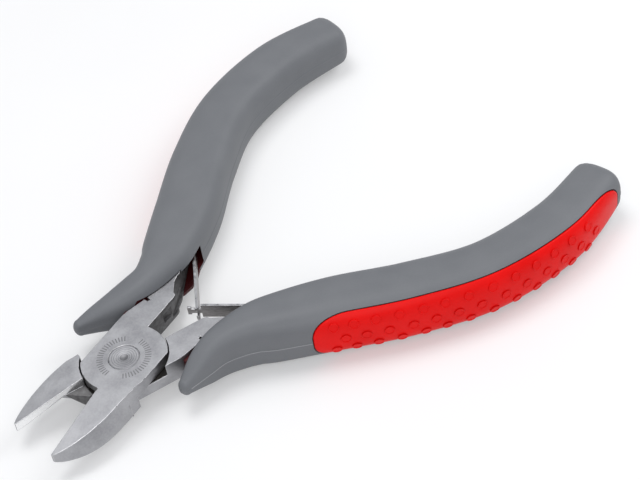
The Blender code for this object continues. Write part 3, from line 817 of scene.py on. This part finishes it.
def turned_rings(material):
    sizes = {"Rings": 5, "First Radius": 1.0, "Radius Step": 0.40, "Thread Radius": 0.055}
    rings = Recipe("turned_rings", sizes)
    line = {"Count": rings.size("Rings"), "Offset": (0, 0, 0)}
    points = rings.add("GeometryNodeMeshLine", None, line)
    order = rings.add("GeometryNodeInputIndex")
    scale = order * rings.size("Radius Step") + rings.size("First Radius")
    inputs = {"Points": points, "Instance": circle_of(rings, 96, 1.0), "Scale": scale}
    copies = rings.add("GeometryNodeInstanceOnPoints", None, inputs)
    lines = rings.add("GeometryNodeRealizeInstances", None, {0: copies})
    thread = circle_of(rings, 8, rings.size("Thread Radius"))
    solid = rings.add("GeometryNodeCurveToMesh", None, {"Curve": lines, "Profile Curve": thread})
    return rings.baked(solid, material)


for end, side in (("front", 1), ("rear", -1)):
    ring_mesh = turned_rings(STAMPED)
    ring_mesh.transform(Matrix.Translation((0, 0, side * (STEEL_HALF - RING_DEPTH))))
    finish_piece(ring_mesh, end + "_turned_rings", "right", [STAMPED])

# %% [markdown]
# ## Marks stamped round the rivet
#
# A ring of shallow marks is stamped round the rivet. Here they are plain radial strokes in
# two arcs, which say nothing. Instancing one small bar on the points of a circle keeps them
# even, and a selection by index leaves the two gaps.

# %% Stamped strokes
STROKE_DEPTH, STROKE_TURN = 0.024, 35.0  # the bars' middle below the face, and degrees about the pivot


def stamped_strokes(material):
    sizes = {"Strokes": 52, "Half Turn": 26, "In Each Arc": 21, "Radius": 4.3, "Length": 1.1,
             "Width": 0.22, "Depth": 0.06}
    strokes = Recipe("stamped_strokes", sizes)
    ring = {"Vertices": strokes.size("Strokes"), "Radius": strokes.size("Radius")}
    circle = strokes.add("GeometryNodeMeshCircle", None, ring)
    sides = {index: strokes.size(label) for index, label in enumerate(("Length", "Width", "Depth"))}
    size = strokes.add("ShaderNodeCombineXYZ", None, sides)
    bar = strokes.add("GeometryNodeMeshCube", None, {"Size": size})
    place = strokes.add("GeometryNodeInputPosition")
    flat = {"axis": "X", "pivot_axis": "Z"}
    turn = strokes.add("FunctionNodeAlignRotationToVector", flat, {"Vector": place})
    order = strokes.add("GeometryNodeInputIndex")
    chosen = (order % strokes.size("Half Turn")).below(strokes.size("In Each Arc"))
    inputs = {"Points": circle, "Selection": chosen, "Instance": bar, "Rotation": turn}
    copies = strokes.add("GeometryNodeInstanceOnPoints", None, inputs)
    return strokes.baked(copies, material)


stroke_mesh = stamped_strokes(STAMPED)
stroke_mesh.transform(Matrix.Rotation(math.radians(STROKE_TURN), 4, "Z"))
stroke_mesh.transform(Matrix.Translation((0, 0, STEEL_HALF - STROKE_DEPTH)))
finish_piece(stroke_mesh, "stamped_strokes", "left", [STAMPED])

# %% [markdown]
# ## Leaf springs
#
# Two flat springs come out of the grips and cross on the centre line. One ends in a fork and
# the other in a T that hooks through it, so they cannot slip apart. Each is the plan of a
# thin strip, extruded to its width and then notched, with its corners broken. Places along a
# leaf are counted from the crossing, where both leaves have their slots.

# %% Leaves, feet and their rivets
LEAF_HALF_WIDTH, LEAF_THICKNESS, LEAF_ROUNDING = 1.5, 0.45, 0.04
LEAF_BEND, LEAF_CROSSING = Vector((29.14, 6.2)), Vector((16.37, -3.78))
LEAF_ALONG = (LEAF_CROSSING - LEAF_BEND).normalized()
FORK_END, TONGUE_END = 0.7, 1.85  # past the crossing
FORK_LIP, FORK_LIP_TURN = 0.35, math.radians(-50)
SLOT_BACK, NECK_BACK, NECK_END, LEAF_PAST = -0.8, -0.7, 1.15, 3.0
TONGUE_HALF_WIDTH, SLOT_HALF_WIDTH, T_HALF_WIDTH = 0.5, 0.65, 0.85
CUT_REACH = 1.5  # to each side of the strip, past its bent lip


def leaf_line(forked):
    tip = LEAF_CROSSING + LEAF_ALONG * (FORK_END if forked else TONGUE_END)
    line = [tuple(tip), tuple(LEAF_BEND)]
    if forked:
        lip = Matrix.Rotation(FORK_LIP_TURN, 2) @ LEAF_ALONG * FORK_LIP
        line.insert(0, tuple(tip + lip))
    return line


def leaf(name, forked):
    line = leaf_line(forked)
    strip = plate(name, band(line, LEAF_THICKNESS / 2), -LEAF_HALF_WIDTH, LEAF_HALF_WIDTH)
    above = LEAF_HALF_WIDTH + PAST
    if forked:
        cuts = [(SLOT_BACK, LEAF_PAST, -SLOT_HALF_WIDTH, SLOT_HALF_WIDTH)]
    else:
        neck, end = (NECK_BACK, NECK_END), (NECK_END - TINY_STEP, LEAF_PAST)
        cuts = [(*neck, TONGUE_HALF_WIDTH, above), (*neck, -above, -TONGUE_HALF_WIDTH),
                (*end, T_HALF_WIDTH, above), (*end, -above, -T_HALF_WIDTH)]
    for start, stop, low, high in cuts:
        cut_line = [tuple(LEAF_CROSSING + LEAF_ALONG * place) for place in (start, stop)]
        strip = joined(strip, plate("side", band(cut_line, CUT_REACH), low, high), "DIFFERENCE")
    strip = rounded(strip, LEAF_ROUNDING, 1)
    for face in strip.polygons:
        if abs(face.normal.z) > 0.9:
            face.material_index = 1
    return strip


for arm, forked in (("left", True), ("right", False)):
    finish_piece(leaf(arm + "_leaf", forked), arm + "_leaf", arm, [SPRING_STRIP, RUBBED],
                 [arm + "_leaf_spring"], body=ARMS[arm]["spring"])
    for node in (arm + "_spring_foot", arm + "_spring_rivet"):
        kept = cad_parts[node]
        kept.data.materials.clear()
        kept.data.materials.append(SPRING_STRIP)
print("feet and spring rivets keep their CAD shapes")

# %% [markdown]
# ## The form of a grip
#
# A grip is a soft rounded-square section that grows and shrinks along a curved line. At the
# front it thins into a guard that flares away from the steel. A list of stations gives
# the line, the reach to the outer and inner side and the half thickness, and a
# superellipse of power 2.9 gives the section. The left guard stands out further than the
# right one, so each arm has its own first stations.

# %% Grip stations and surface
GUARD_STATIONS = {
    "left": [(3.5, 13.2, 1.1, 1.1, 1.6), (6.4, 11.8, 1.8, 2.0, 2.5), (10.2, 9.7, 2.6, 2.9, 3.7),
             (13.8, 8.3, 2.9, 3.6, 4.5)],
    "right": [(6.1, 10.6, 1.1, 1.2, 1.6), (7.9, 9.8, 1.6, 1.8, 2.4), (10.6, 8.7, 2.2, 2.6, 3.6),
              (13.8, 7.8, 2.5, 3.3, 4.5)],
}
GRIP_STATIONS = [(17.0, 7.4, 3.2, 3.8, 5.0), (20.5, 7.7, 3.8, 4.8, 5.3), (25.0, 8.7, 5.0, 5.6, 5.5),
                 (35.5, 12.1, 6.1, 6.1, 5.6), (48.2, 17.4, 6.0, 6.0, 5.6), (62.3, 21.2, 5.6, 5.6, 5.5),
                 (78.0, 20.1, 5.5, 5.5, 5.2), (90.3, 15.4, 4.9, 4.9, 4.6)]
SQUARENESS = 2.9
STATION_LENGTH = 13.0  # about the distance between two stations of the pad
SLOPE_STEP, FACING_STEP = 0.03, 0.02  # small steps, in stations or radians, for slopes
PAD_BAND = {"left": (-54, 24), "right": (-52, 51)}  # degrees below and above the middle


def squarish(value, power):
    """A sine or cosine, bent so that a circle of them becomes a superellipse."""
    return math.copysign(abs(value) ** (2 / power), value)


class GripForm:
    """The surface of one grip: a place along it, an angle from its outer side, and a lift."""

    def __init__(self, arm):
        self.rows = GUARD_STATIONS[arm] + GRIP_STATIONS
        self.last = len(self.rows) - 1.0
        low, high = (math.radians(angle) for angle in PAD_BAND[arm])
        self.pad_middle, self.pad_half = (low + high) / 2, (high - low) / 2

    def row(self, place):
        return curve_row(self.rows, min(max(place, 0.0), self.last))

    def along(self, place):
        back, ahead = self.row(place - SLOPE_STEP), self.row(place + SLOPE_STEP)
        return Vector((ahead[0] - back[0], ahead[1] - back[1])).normalized()

    def section(self, place, angle, lift=0.0, shrink=1.0, push=0.0):
        x, y, outer, inner, half = self.row(place)
        along = self.along(place)
        cosine, sine = math.cos(angle), math.sin(angle)
        side = squarish(cosine, SQUARENESS) * (((outer if cosine > 0 else inner) + lift) * shrink)
        height = squarish(sine, SQUARENESS) * (half + lift) * shrink
        return Vector((x - along.y * side + along.x * push, y + along.x * side + along.y * push, height))

    def outward(self, place, angle):
        """The way that the surface faces."""
        across = self.section(place, angle + FACING_STEP) - self.section(place, angle - FACING_STEP)
        ahead = self.section(place + FACING_STEP, angle) - self.section(place - FACING_STEP, angle)
        return across.cross(ahead).normalized()

    def place_after(self, start, distance):
        """The place that lies a distance further along the centre line."""
        place, left, step = start, distance, 0.01
        while left > 0:
            a, b = self.row(place), self.row(place + step)
            left -= math.hypot(b[0] - a[0], b[1] - a[1])
            place += step
        return place


FORMS = {arm: GripForm(arm) for arm in ARMS}
print("grip stations:", {arm: len(form.rows) for arm, form in FORMS.items()})

# %% [markdown]
# ## The cover
#
# The cover is moulded in two half moulds, so a thin seam runs round it at half height. The
# sections carry the seam as real relief, with extra points close to the middle plane to hold
# it. The nose and the end are closed with shrinking sections, as on a quarter circle.

# %% Angles and rings of the cover
SEAM_HEIGHT, SEAM_HALF_WIDTH = 0.07, 0.11
SEAM_POINTS = (0.0, 0.06, 0.12, 0.2, 0.32)  # heights over the middle plane
USUAL_HALF = 5.3  # a usual half thickness of the grip
RINGS_PER_STATION, ANGLE_STEPS = 14, 22
NOSE_LENGTH, END_LENGTH = 1.2, 3.1
ROUNDING_ANGLES = [math.radians(angle) for angle in (12, 24, 36, 48, 60, 70, 79, 85)]


def cover_angles():
    """Angles round the section, close together where the seam runs."""
    upright = math.pi / 2
    near = [math.asin((height / USUAL_HALF) ** (SQUARENESS / 2)) for height in SEAM_POINTS]
    shares = [(step / ANGLE_STEPS) ** 0.9 for step in range(1, ANGLE_STEPS)]
    quarter = near + [between(near[-1], upright, share) for share in shares]
    half = quarter + [upright] + [math.pi - angle for angle in reversed(quarter)]
    return half + [-angle for angle in half[-2:0:-1]]


def seam_lift(angle, half):
    height = abs(math.sin(angle)) ** (2 / SQUARENESS) * half
    return SEAM_HEIGHT * math.exp(-((height / SEAM_HALF_WIDTH) ** 2))


def cover_sections(form):
    """Rings of points from the rounded nose, along the grip, to its rounded end."""
    angles = cover_angles()
    count = int(form.last * RINGS_PER_STATION)
    places = [(0.0, -NOSE_LENGTH, angle) for angle in reversed(ROUNDING_ANGLES)]
    places += [(form.last * step / count, 0.0, 0.0) for step in range(count + 1)]
    places += [(form.last, END_LENGTH, angle) for angle in ROUNDING_ANGLES]
    sections = []
    for place, length, turn in places:
        half, push, shrink = form.row(place)[4], length * math.sin(turn), math.cos(turn)
        section = []
        for angle in angles:
            lift = seam_lift(angle, half) * shrink
            section.append(form.section(place, angle, lift, shrink, push))
        sections.append(section)
    return sections


print("points round a section:", len(cover_angles()))

# %% [markdown]
# ## The outline of the pad
#
# The pad lies in a pocket on the outer side of the grip, with well rounded ends. The left
# one sits lower than the right one, out of sight from above. The pad and its pocket share
# one function, so they fit: rows of points that narrow towards each end, one row on the
# surface and one below it. Its edges roll down on a small radius, and the pocket has none.

# %% Pad outline and solid
PAD_START, PAD_STOP = 6.575, 10.9  # places along the grip
PAD_END_LENGTH, PAD_END_STEPS, PAD_STEPS = 0.60, 12, 110
PAD_BLUNT = 0.12  # the width that is left at the very ends, as a share
PAD_EDGE_RADIUS, PAD_SIDE_STEPS = 0.4, 14
PAD_DEPTH, PAD_PROUD = 0.8, 0.03
POCKET_GROW, POCKET_DEPTH, POCKET_PROUD = 0.16, 0.9, 2.0


def pad_reach(from_end):
    """The share of the pad's width at a distance from its nearest end, on a quarter circle."""
    share = min(max(from_end / PAD_END_LENGTH, 0.0), 1.0)
    return max(PAD_BLUNT, math.sqrt(1 - (1 - share) ** 2))


def pad_places(start, stop):
    ends = [PAD_END_LENGTH * (step / PAD_END_STEPS) ** 1.8 for step in range(PAD_END_STEPS)]
    first, last = start + PAD_END_LENGTH, stop - PAD_END_LENGTH
    middle = [between(first, last, step / PAD_STEPS) for step in range(PAD_STEPS + 1)]
    return [start + end for end in ends] + middle + [stop - end for end in reversed(ends)]


def edge_drop(edge_distance):
    """How far the pad's surface has rolled down at a distance from its edge."""
    inside = max(0.0, 1 - edge_distance / PAD_EDGE_RADIUS)
    return PAD_EDGE_RADIUS * (1 - math.sqrt(max(0.0, 1 - inside * inside)))


def pad_solid(name, form, depth, proud, grow=0.0, rolled=True):
    """A strip on the grip's outer side, from a depth in it to a little proud of it."""
    steps = range(-PAD_SIDE_STEPS, PAD_SIDE_STEPS + 1)
    sideways = [math.sin(math.pi / 2 * step / PAD_SIDE_STEPS) for step in steps]
    start, stop = PAD_START - grow / STATION_LENGTH, PAD_STOP + grow / STATION_LENGTH
    sections = []
    for place in pad_places(start, stop):
        outer, from_end = form.row(place)[2], min(place - start, stop - place)
        limit = form.pad_half * pad_reach(from_end) + grow / outer
        top, under = [], []
        for share in sideways:
            to_side, to_end = (1 - abs(share)) * limit * outer, from_end * STATION_LENGTH * 1.5 + 0.02
            lift = proud - edge_drop(min(to_side, to_end)) if rolled else proud
            angle = form.pad_middle + limit * share
            top.append(form.section(place, angle, lift))
            under.append(form.section(place, angle, -depth))
        sections.append(top + under[::-1])
    return loft(name, sections)


# %% [markdown]
# ## The rooms inside a cover
#
# The steel tang needs a channel and the leaf needs a wedge-shaped room to swing in. Each room
# is one solid that is taken away from the cover, and those two are lined with the core's red,
# darkened as painted shade, which is all that can be seen in them. The seam's flash stands
# proud on the outer side of the guard, where nobody trims it, so it is a bead of its own.

# %% Rooms
CHANNEL_GAP, SLEEVE_GAP, TIGHT_GAP = 0.2, 0.05, 0.05
CHANNEL_FRONT, CHANNEL_BACK = [(8.6, 4.15), (12.5, 3.0), (15.5, 2.95)], [(72.4, 21.3)]
SPRING_ROOM = [(13.0, -4.0), (17.0, 2.6), (29.0, 7.6), (32.0, 9.2), (39.5, 12.4), (40.3, 9.7), (31.9, 5.8),
               (29.9, 5.2), (20.8, -2.9)]
SPRING_ROOM_HALF = 2.1
BEAD_START, BEAD_STOP, BEAD_STEPS, BEAD_SIDES = 0.12, 6.55, 90, 6
BEAD_LIFT, BEAD_PROUD, BEAD_HALF = 0.02, 0.09, 0.11


def tang_channel(gap):
    line = CHANNEL_FRONT + TANG_LINE + CHANNEL_BACK
    return plate("channel", band(line, TANG_HALF_WIDTH + gap), -STEEL_HALF - gap, STEEL_HALF + gap)


def spring_room():
    return plate("spring_room", SPRING_ROOM, -SPRING_ROOM_HALF, SPRING_ROOM_HALF)


def seam_bead(form):
    """A thin line of flash on the outer side, from the guard to the pad."""
    turns = [math.tau * side / BEAD_SIDES for side in range(BEAD_SIDES)]
    sections = []
    for step in range(BEAD_STEPS + 1):
        place = between(BEAD_START, BEAD_STOP, step / BEAD_STEPS)
        middle, outward = form.section(place, 0.0, BEAD_LIFT), form.outward(place, 0.0)
        section = []
        for turn in turns:
            upward = Vector((0, 0, BEAD_HALF * math.sin(turn)))
            section.append(middle + outward * (BEAD_PROUD * math.cos(turn)) + upward)
        sections.append(section)
    return loft("seam", sections)


def cover(name, form):
    shell = loft(name, cover_sections(form))
    shell.materials.append(GREY)
    # The rooms are lined with the core's red in painted shade.
    for room in (tang_channel(CHANNEL_GAP), spring_room()):
        shell = joined(shell, room, "DIFFERENCE", lining=CORE_RED_PAINTED_SHADE)
    pocket = pad_solid("pocket", form, POCKET_DEPTH, POCKET_PROUD, POCKET_GROW, rolled=False)
    for room in (core_solid("sleeve_room", SLEEVE_GAP), pocket):
        shell = joined(shell, room, "DIFFERENCE")
    return shell


# %% [markdown]
# ## The core
#
# The hard core grips the tang and shows only in the mouth of the cover, as a red lip along
# the outer edge of the steel, painted dark as its shade there. It is a loft along the tang with
# squarer corners than the cover's, plus a short liner that runs forward beside the steel and
# a thin floor under the leaf spring. At the front, its inner side stays close to the steel,
# which leaves the leaf its room, and near the leaf's bend it widens to its full width.

# %% Core
CORE_WIDTH, CORE_HALF, CORE_SQUARENESS, CORE_POINTS = 3.3, 3.45, 4.0, 28
CORE_FIRST = 6  # the point of the tang's line where the core starts
WIDENING_X, WIDENING_LENGTH = 26.0, 3.0
LINER = [(8.3, 6.28), (8.8, 6.18), (9.6, 5.97), (11.5, 5.43), (13.5, 4.83), (16.0, 5.4), (16.0, 6.7),
         (14.0, 6.2), (12.0, 6.5), (9.8, 6.95), (8.4, 6.9)]
LINER_LOW, LINER_HIGH = -2.2, 1.5
ROOM_FLOOR = [(18.8, 3.3), (20.1, 2.45), (22.3, 2.15), (24.5, 2.6), (27.5, 3.9), (30.0, 5.3), (32.0, 6.0),
              (40.0, 9.9), (39.3, 12.2), (32.0, 9.0), (29.0, 7.4), (22.0, 4.6)]
FLOOR_LOW, FLOOR_HIGH = -2.75, -2.12


def square_section(centre, along, outer, inner, half):
    section = []
    for index in range(CORE_POINTS):
        angle = math.tau * (index + 0.5) / CORE_POINTS
        cosine, sine = math.cos(angle), math.sin(angle)
        side = squarish(cosine, CORE_SQUARENESS) * (outer if cosine > 0 else inner)
        height = squarish(sine, CORE_SQUARENESS) * half
        section.append((centre[0] - along.y * side, centre[1] + along.x * side, height))
    return section


def core_solid(name, gap):
    outer, half = CORE_WIDTH + gap, CORE_HALF + gap
    sections = []
    for index in range(CORE_FIRST, len(TANG_LINE)):
        centre, along = TANG_LINE[index], direction(TANG_LINE, index)
        opening = min(1.0, max(0.0, (centre[0] - WIDENING_X) / WIDENING_LENGTH))
        inner = between(TANG_HALF_WIDTH, CORE_WIDTH, opening) + gap
        sections.append(square_section(centre, along, outer, inner, half))
    return loft(name, sections)


def core(name):
    sleeve = core_solid(name, 0.0)
    for room in (tang_channel(TIGHT_GAP), spring_room()):
        sleeve = joined(sleeve, room, "DIFFERENCE")
    sleeve = joined(sleeve, plate("liner", LINER, LINER_LOW, LINER_HIGH), "UNION")
    room_floor = plate("floor", ROOM_FLOOR, FLOOR_LOW, FLOOR_HIGH)
    return joined(sleeve, joined(room_floor, tang_channel(TIGHT_GAP), "DIFFERENCE"), "UNION")


# %% Covers and cores
for arm, form in FORMS.items():
    finish_piece(cover(arm + "_cover", form), arm + "_cover", arm, [GREY, CORE_RED_PAINTED_SHADE],
                 [arm + "_grip_cover"], sharp=38)
    # The seam bead carries a painted highlight in its lighter grey.
    finish_piece(seam_bead(form), arm + "_seam", arm, [SEAM_PAINTED_HIGHLIGHT])
    core_mesh = core(arm + "_core")
    finish_piece(core_mesh, arm + "_core", arm, [CORE_RED_PAINTED_SHADE], [arm + "_grip_core"])

# %% [markdown]
# ## The pad and its studs
#
# The pad is level with the cover and its edge rolls down into the pocket, so a fine dark line
# surrounds it. Three rows of studs give the fingers hold, with the middle row half a step
# ahead of the others. Each stud is a low disc with a raised rim, and its foot is marked for
# painted shade, which darkens it. The points and the way that each one faces come from the
# grip's own surface, and Geometry Nodes set a stud on each.

# %% Points for the studs
STUD_PITCH, FIRST_STUD, STUDS_IN_ROW = 3.95, 4.0, 13
STUD_ROWS = ((0.42, 0.0), (0.0, 0.5), (-0.42, 0.0))  # share of the pad's half width, and shift in pitches
STUD_SINK = 0.02


def stud_points(form):
    places, facing = [], []
    for share, shift in STUD_ROWS:
        angle = form.pad_middle + form.pad_half * share
        for step in range(STUDS_IN_ROW):
            place = form.place_after(PAD_START, FIRST_STUD + (step + shift) * STUD_PITCH)
            places.append(form.section(place, angle, -STUD_SINK))
            facing.append(form.outward(place, angle))
    points = bpy.data.meshes.new("stud_points")
    points.from_pydata(places, [], [])
    outward = points.attributes.new("outward", "FLOAT_VECTOR", "POINT")
    for index, way in enumerate(facing):
        outward.data[index].vector = way
    return points


# %% One stud
DISC_POINTS, RIM_POINTS, THREAD_POINTS = 20, 18, 6
DISC_SHARE, RIM_SINK = 0.97, 0.4  # shares of the stud's radius and of the rim's


def stud_shape(recipe, radius, height, rim_radius):
    """A disc with a rim on its upper edge."""
    sizes = {"Vertices": DISC_POINTS, "Radius": radius * DISC_SHARE, "Depth": height * 2}
    disc = recipe.add("GeometryNodeMeshCylinder", None, sizes)
    circle = circle_of(recipe, RIM_POINTS, radius - rim_radius)
    thread = circle_of(recipe, THREAD_POINTS, rim_radius)
    rim = recipe.add("GeometryNodeCurveToMesh", None, {"Curve": circle, "Profile Curve": thread})
    lift = recipe.add("ShaderNodeCombineXYZ", None, {2: height - rim_radius * RIM_SINK})
    raised = recipe.add("GeometryNodeTransform", None, {"Geometry": rim, "Translation": lift})
    return recipe.add("GeometryNodeJoinGeometry", None, {0: [disc, raised]})


def with_painted_crevice_shade(recipe, shape, height):
    """Stores a painted shade value: 1 at the foot of the shape, 0 at its top."""
    place = recipe.add("GeometryNodeInputPosition")
    level = recipe.add("ShaderNodeSeparateXYZ", None, {0: place}, output=2)
    inputs = {"Value": level / height, "From Min": 0.0, "From Max": 1.0, "To Min": 1.0, "To Max": 0.0}
    foot = recipe.add("ShaderNodeMapRange", {"clamp": True}, inputs)
    stored = {"Geometry": shape, "Name": "crevice", "Value": foot}
    return recipe.add("GeometryNodeStoreNamedAttribute", {"data_type": "FLOAT", "domain": "POINT"}, stored)


# %% Pads and studs
def studs(points, material):
    sizes = {"Stud Radius": 0.95, "Stud Height": 0.20, "Rim Radius": 0.13}
    recipe = Recipe("pad_studs", sizes)
    radius, height, rim_radius = (recipe.size(label) for label in sizes)
    # Marks the foot of each stud for painted shade.
    stud = with_painted_crevice_shade(recipe, stud_shape(recipe, radius, height, rim_radius), height)
    vectors = {"data_type": "FLOAT_VECTOR"}
    outward = recipe.add("GeometryNodeInputNamedAttribute", vectors, {"Name": "outward"})
    turn = recipe.add("FunctionNodeAlignRotationToVector", {"axis": "Z"}, {"Vector": outward})
    inputs = {"Points": recipe.size("Geometry"), "Instance": stud, "Rotation": turn}
    copies = recipe.add("GeometryNodeInstanceOnPoints", None, inputs)
    return recipe.baked(copies, material, points)


for arm, form in FORMS.items():
    pad_mesh = pad_solid(arm + "_pad", form, PAD_DEPTH, PAD_PROUD)
    finish_piece(pad_mesh, arm + "_pad", arm, [RED], [arm + "_grip_pad"], sharp=50)
    stud_mesh = studs(stud_points(form), RED)
    finish_piece(stud_mesh, arm + "_studs", arm, [RED], sharp=60)

# %% [markdown]
# ## A pale table
#
# The cutter lies on a pale light table, whose faint glow keeps the shadows soft. It is one
# square face, a hair below the lowest point of the grips.

# %% Table
TABLE_HALF, TABLE_GAP = 3.0, 0.0002
TABLE_Z = min(cad_bounds[0][2], 0.0) - TABLE_GAP


def table_finish():
    glow = {"Specular IOR Level": 0.2, "Emission Color": (1, 1, 1, 1), "Emission Strength": 0.27}
    table = Finish("pale table", settled=glow)
    cloud = table.spread(table.noise(60.0, detail=2.0), 0.3, 0.7)
    table.colour(table.mix(cloud, (0.60, 0.60, 0.602, 1), (0.62, 0.62, 0.622, 1)))
    table.roughness(0.72 + cloud * 0.05)
    return table.relief(table.noise(1.5), 0.01, 0.2)


corners = [(x * TABLE_HALF, y * TABLE_HALF, TABLE_Z) for x, y in ((-1, -1), (1, -1), (1, 1), (-1, 1))]
table_mesh = bpy.data.meshes.new("table")
table_mesh.from_pydata(corners, [], [(0, 1, 2, 3)])
table_mesh.materials.append(table_finish())
floor = bpy.data.objects.new("table", table_mesh)
scene.collection.objects.link(floor)
print("table at", round(TABLE_Z / MM, 2), "mm")

# %% [markdown]
# ## A light tent
#
# Around the table stands a light tent: a bright even world, a large soft lamp behind the
# camera, a smaller one overhead and a weak one at the side. Satin steel shows mostly what is
# around it, so the tent does more for it than any lamp.

# %% Light
def soft_lamp(name, place, target, size, power):
    light = bpy.data.lights.new(name, "AREA")
    light.shape, light.size, light.energy = "DISK", size, power
    lamp = bpy.data.objects.new(name, light)
    lamp.location = place
    lamp.rotation_euler = (Vector(target) - Vector(place)).to_track_quat("-Z", "Y").to_euler()
    scene.collection.objects.link(lamp)


world = bpy.data.worlds.new("light tent")
world.use_nodes = True
tent = world.node_tree.nodes["Background"].inputs
tent["Color"].default_value, tent["Strength"].default_value = (0.94, 0.96, 1.0, 1), 0.57
scene.world = world
soft_lamp("behind the camera", (-0.25, -0.38, 0.45), (0.03, 0.0, 0.0), 0.45, 1.15)
soft_lamp("overhead", (0.05, 0.12, 0.55), (0.03, 0.0, 0.0), 0.30, 1.15)
soft_lamp("right side", (0.36, -0.10, 0.30), (0.08, -0.03, 0.0), 0.25, 0.55)
scene.view_settings.view_transform = "Standard"

# %% [markdown]
# ## The camera
#
# The camera stands about 0.3 m away and looks down at 46 degrees, past the jaws and along the
# tool. It is tilted a little on its own axis, and its lens is shifted because the view is a
# part of a wider one. Its three axes are worked out from the angles, so they can be read.

# %% Camera
AIM = Vector((0.03540, -0.01976, 0.01083))
DISTANCE = 0.29845
AZIMUTH, ELEVATION, TILT = (math.radians(angle) for angle in (-38.07, 45.75, -9.60))
LENS_MM, SENSOR_MM, SHIFT_X, SHIFT_Y = 96.97, 36.0, -0.0368, 0.0448
level = Vector((math.cos(AZIMUTH), math.sin(AZIMUTH), 0.0))
towards = Vector((math.sin(AZIMUTH), -math.cos(AZIMUTH), 0.0))
back = towards * math.cos(ELEVATION) + Vector((0.0, 0.0, math.sin(ELEVATION)))
right = level * math.cos(TILT) + back.cross(level) * math.sin(TILT)
up = back.cross(right)
lens = bpy.data.cameras.new("camera")
lens.lens, lens.sensor_width, lens.shift_x, lens.shift_y = LENS_MM, SENSOR_MM, SHIFT_X, SHIFT_Y
lens.clip_start, lens.clip_end = 0.01, 20.0
camera = bpy.data.objects.new("camera", lens)
axes = Matrix((right, up, back)).transposed().to_4x4()
camera.matrix_world = Matrix.Translation(AIM + back * DISTANCE) @ axes
scene.collection.objects.link(camera)
scene.camera = camera
bpy.context.view_layer.update()
seen = world_to_camera_view(scene, camera, Vector((0, 0, 2 * STEEL_HALF * MM)))
print("rivet in the frame, from the left and from the top:", round(seen.x, 3), round(1 - seen.y, 3))
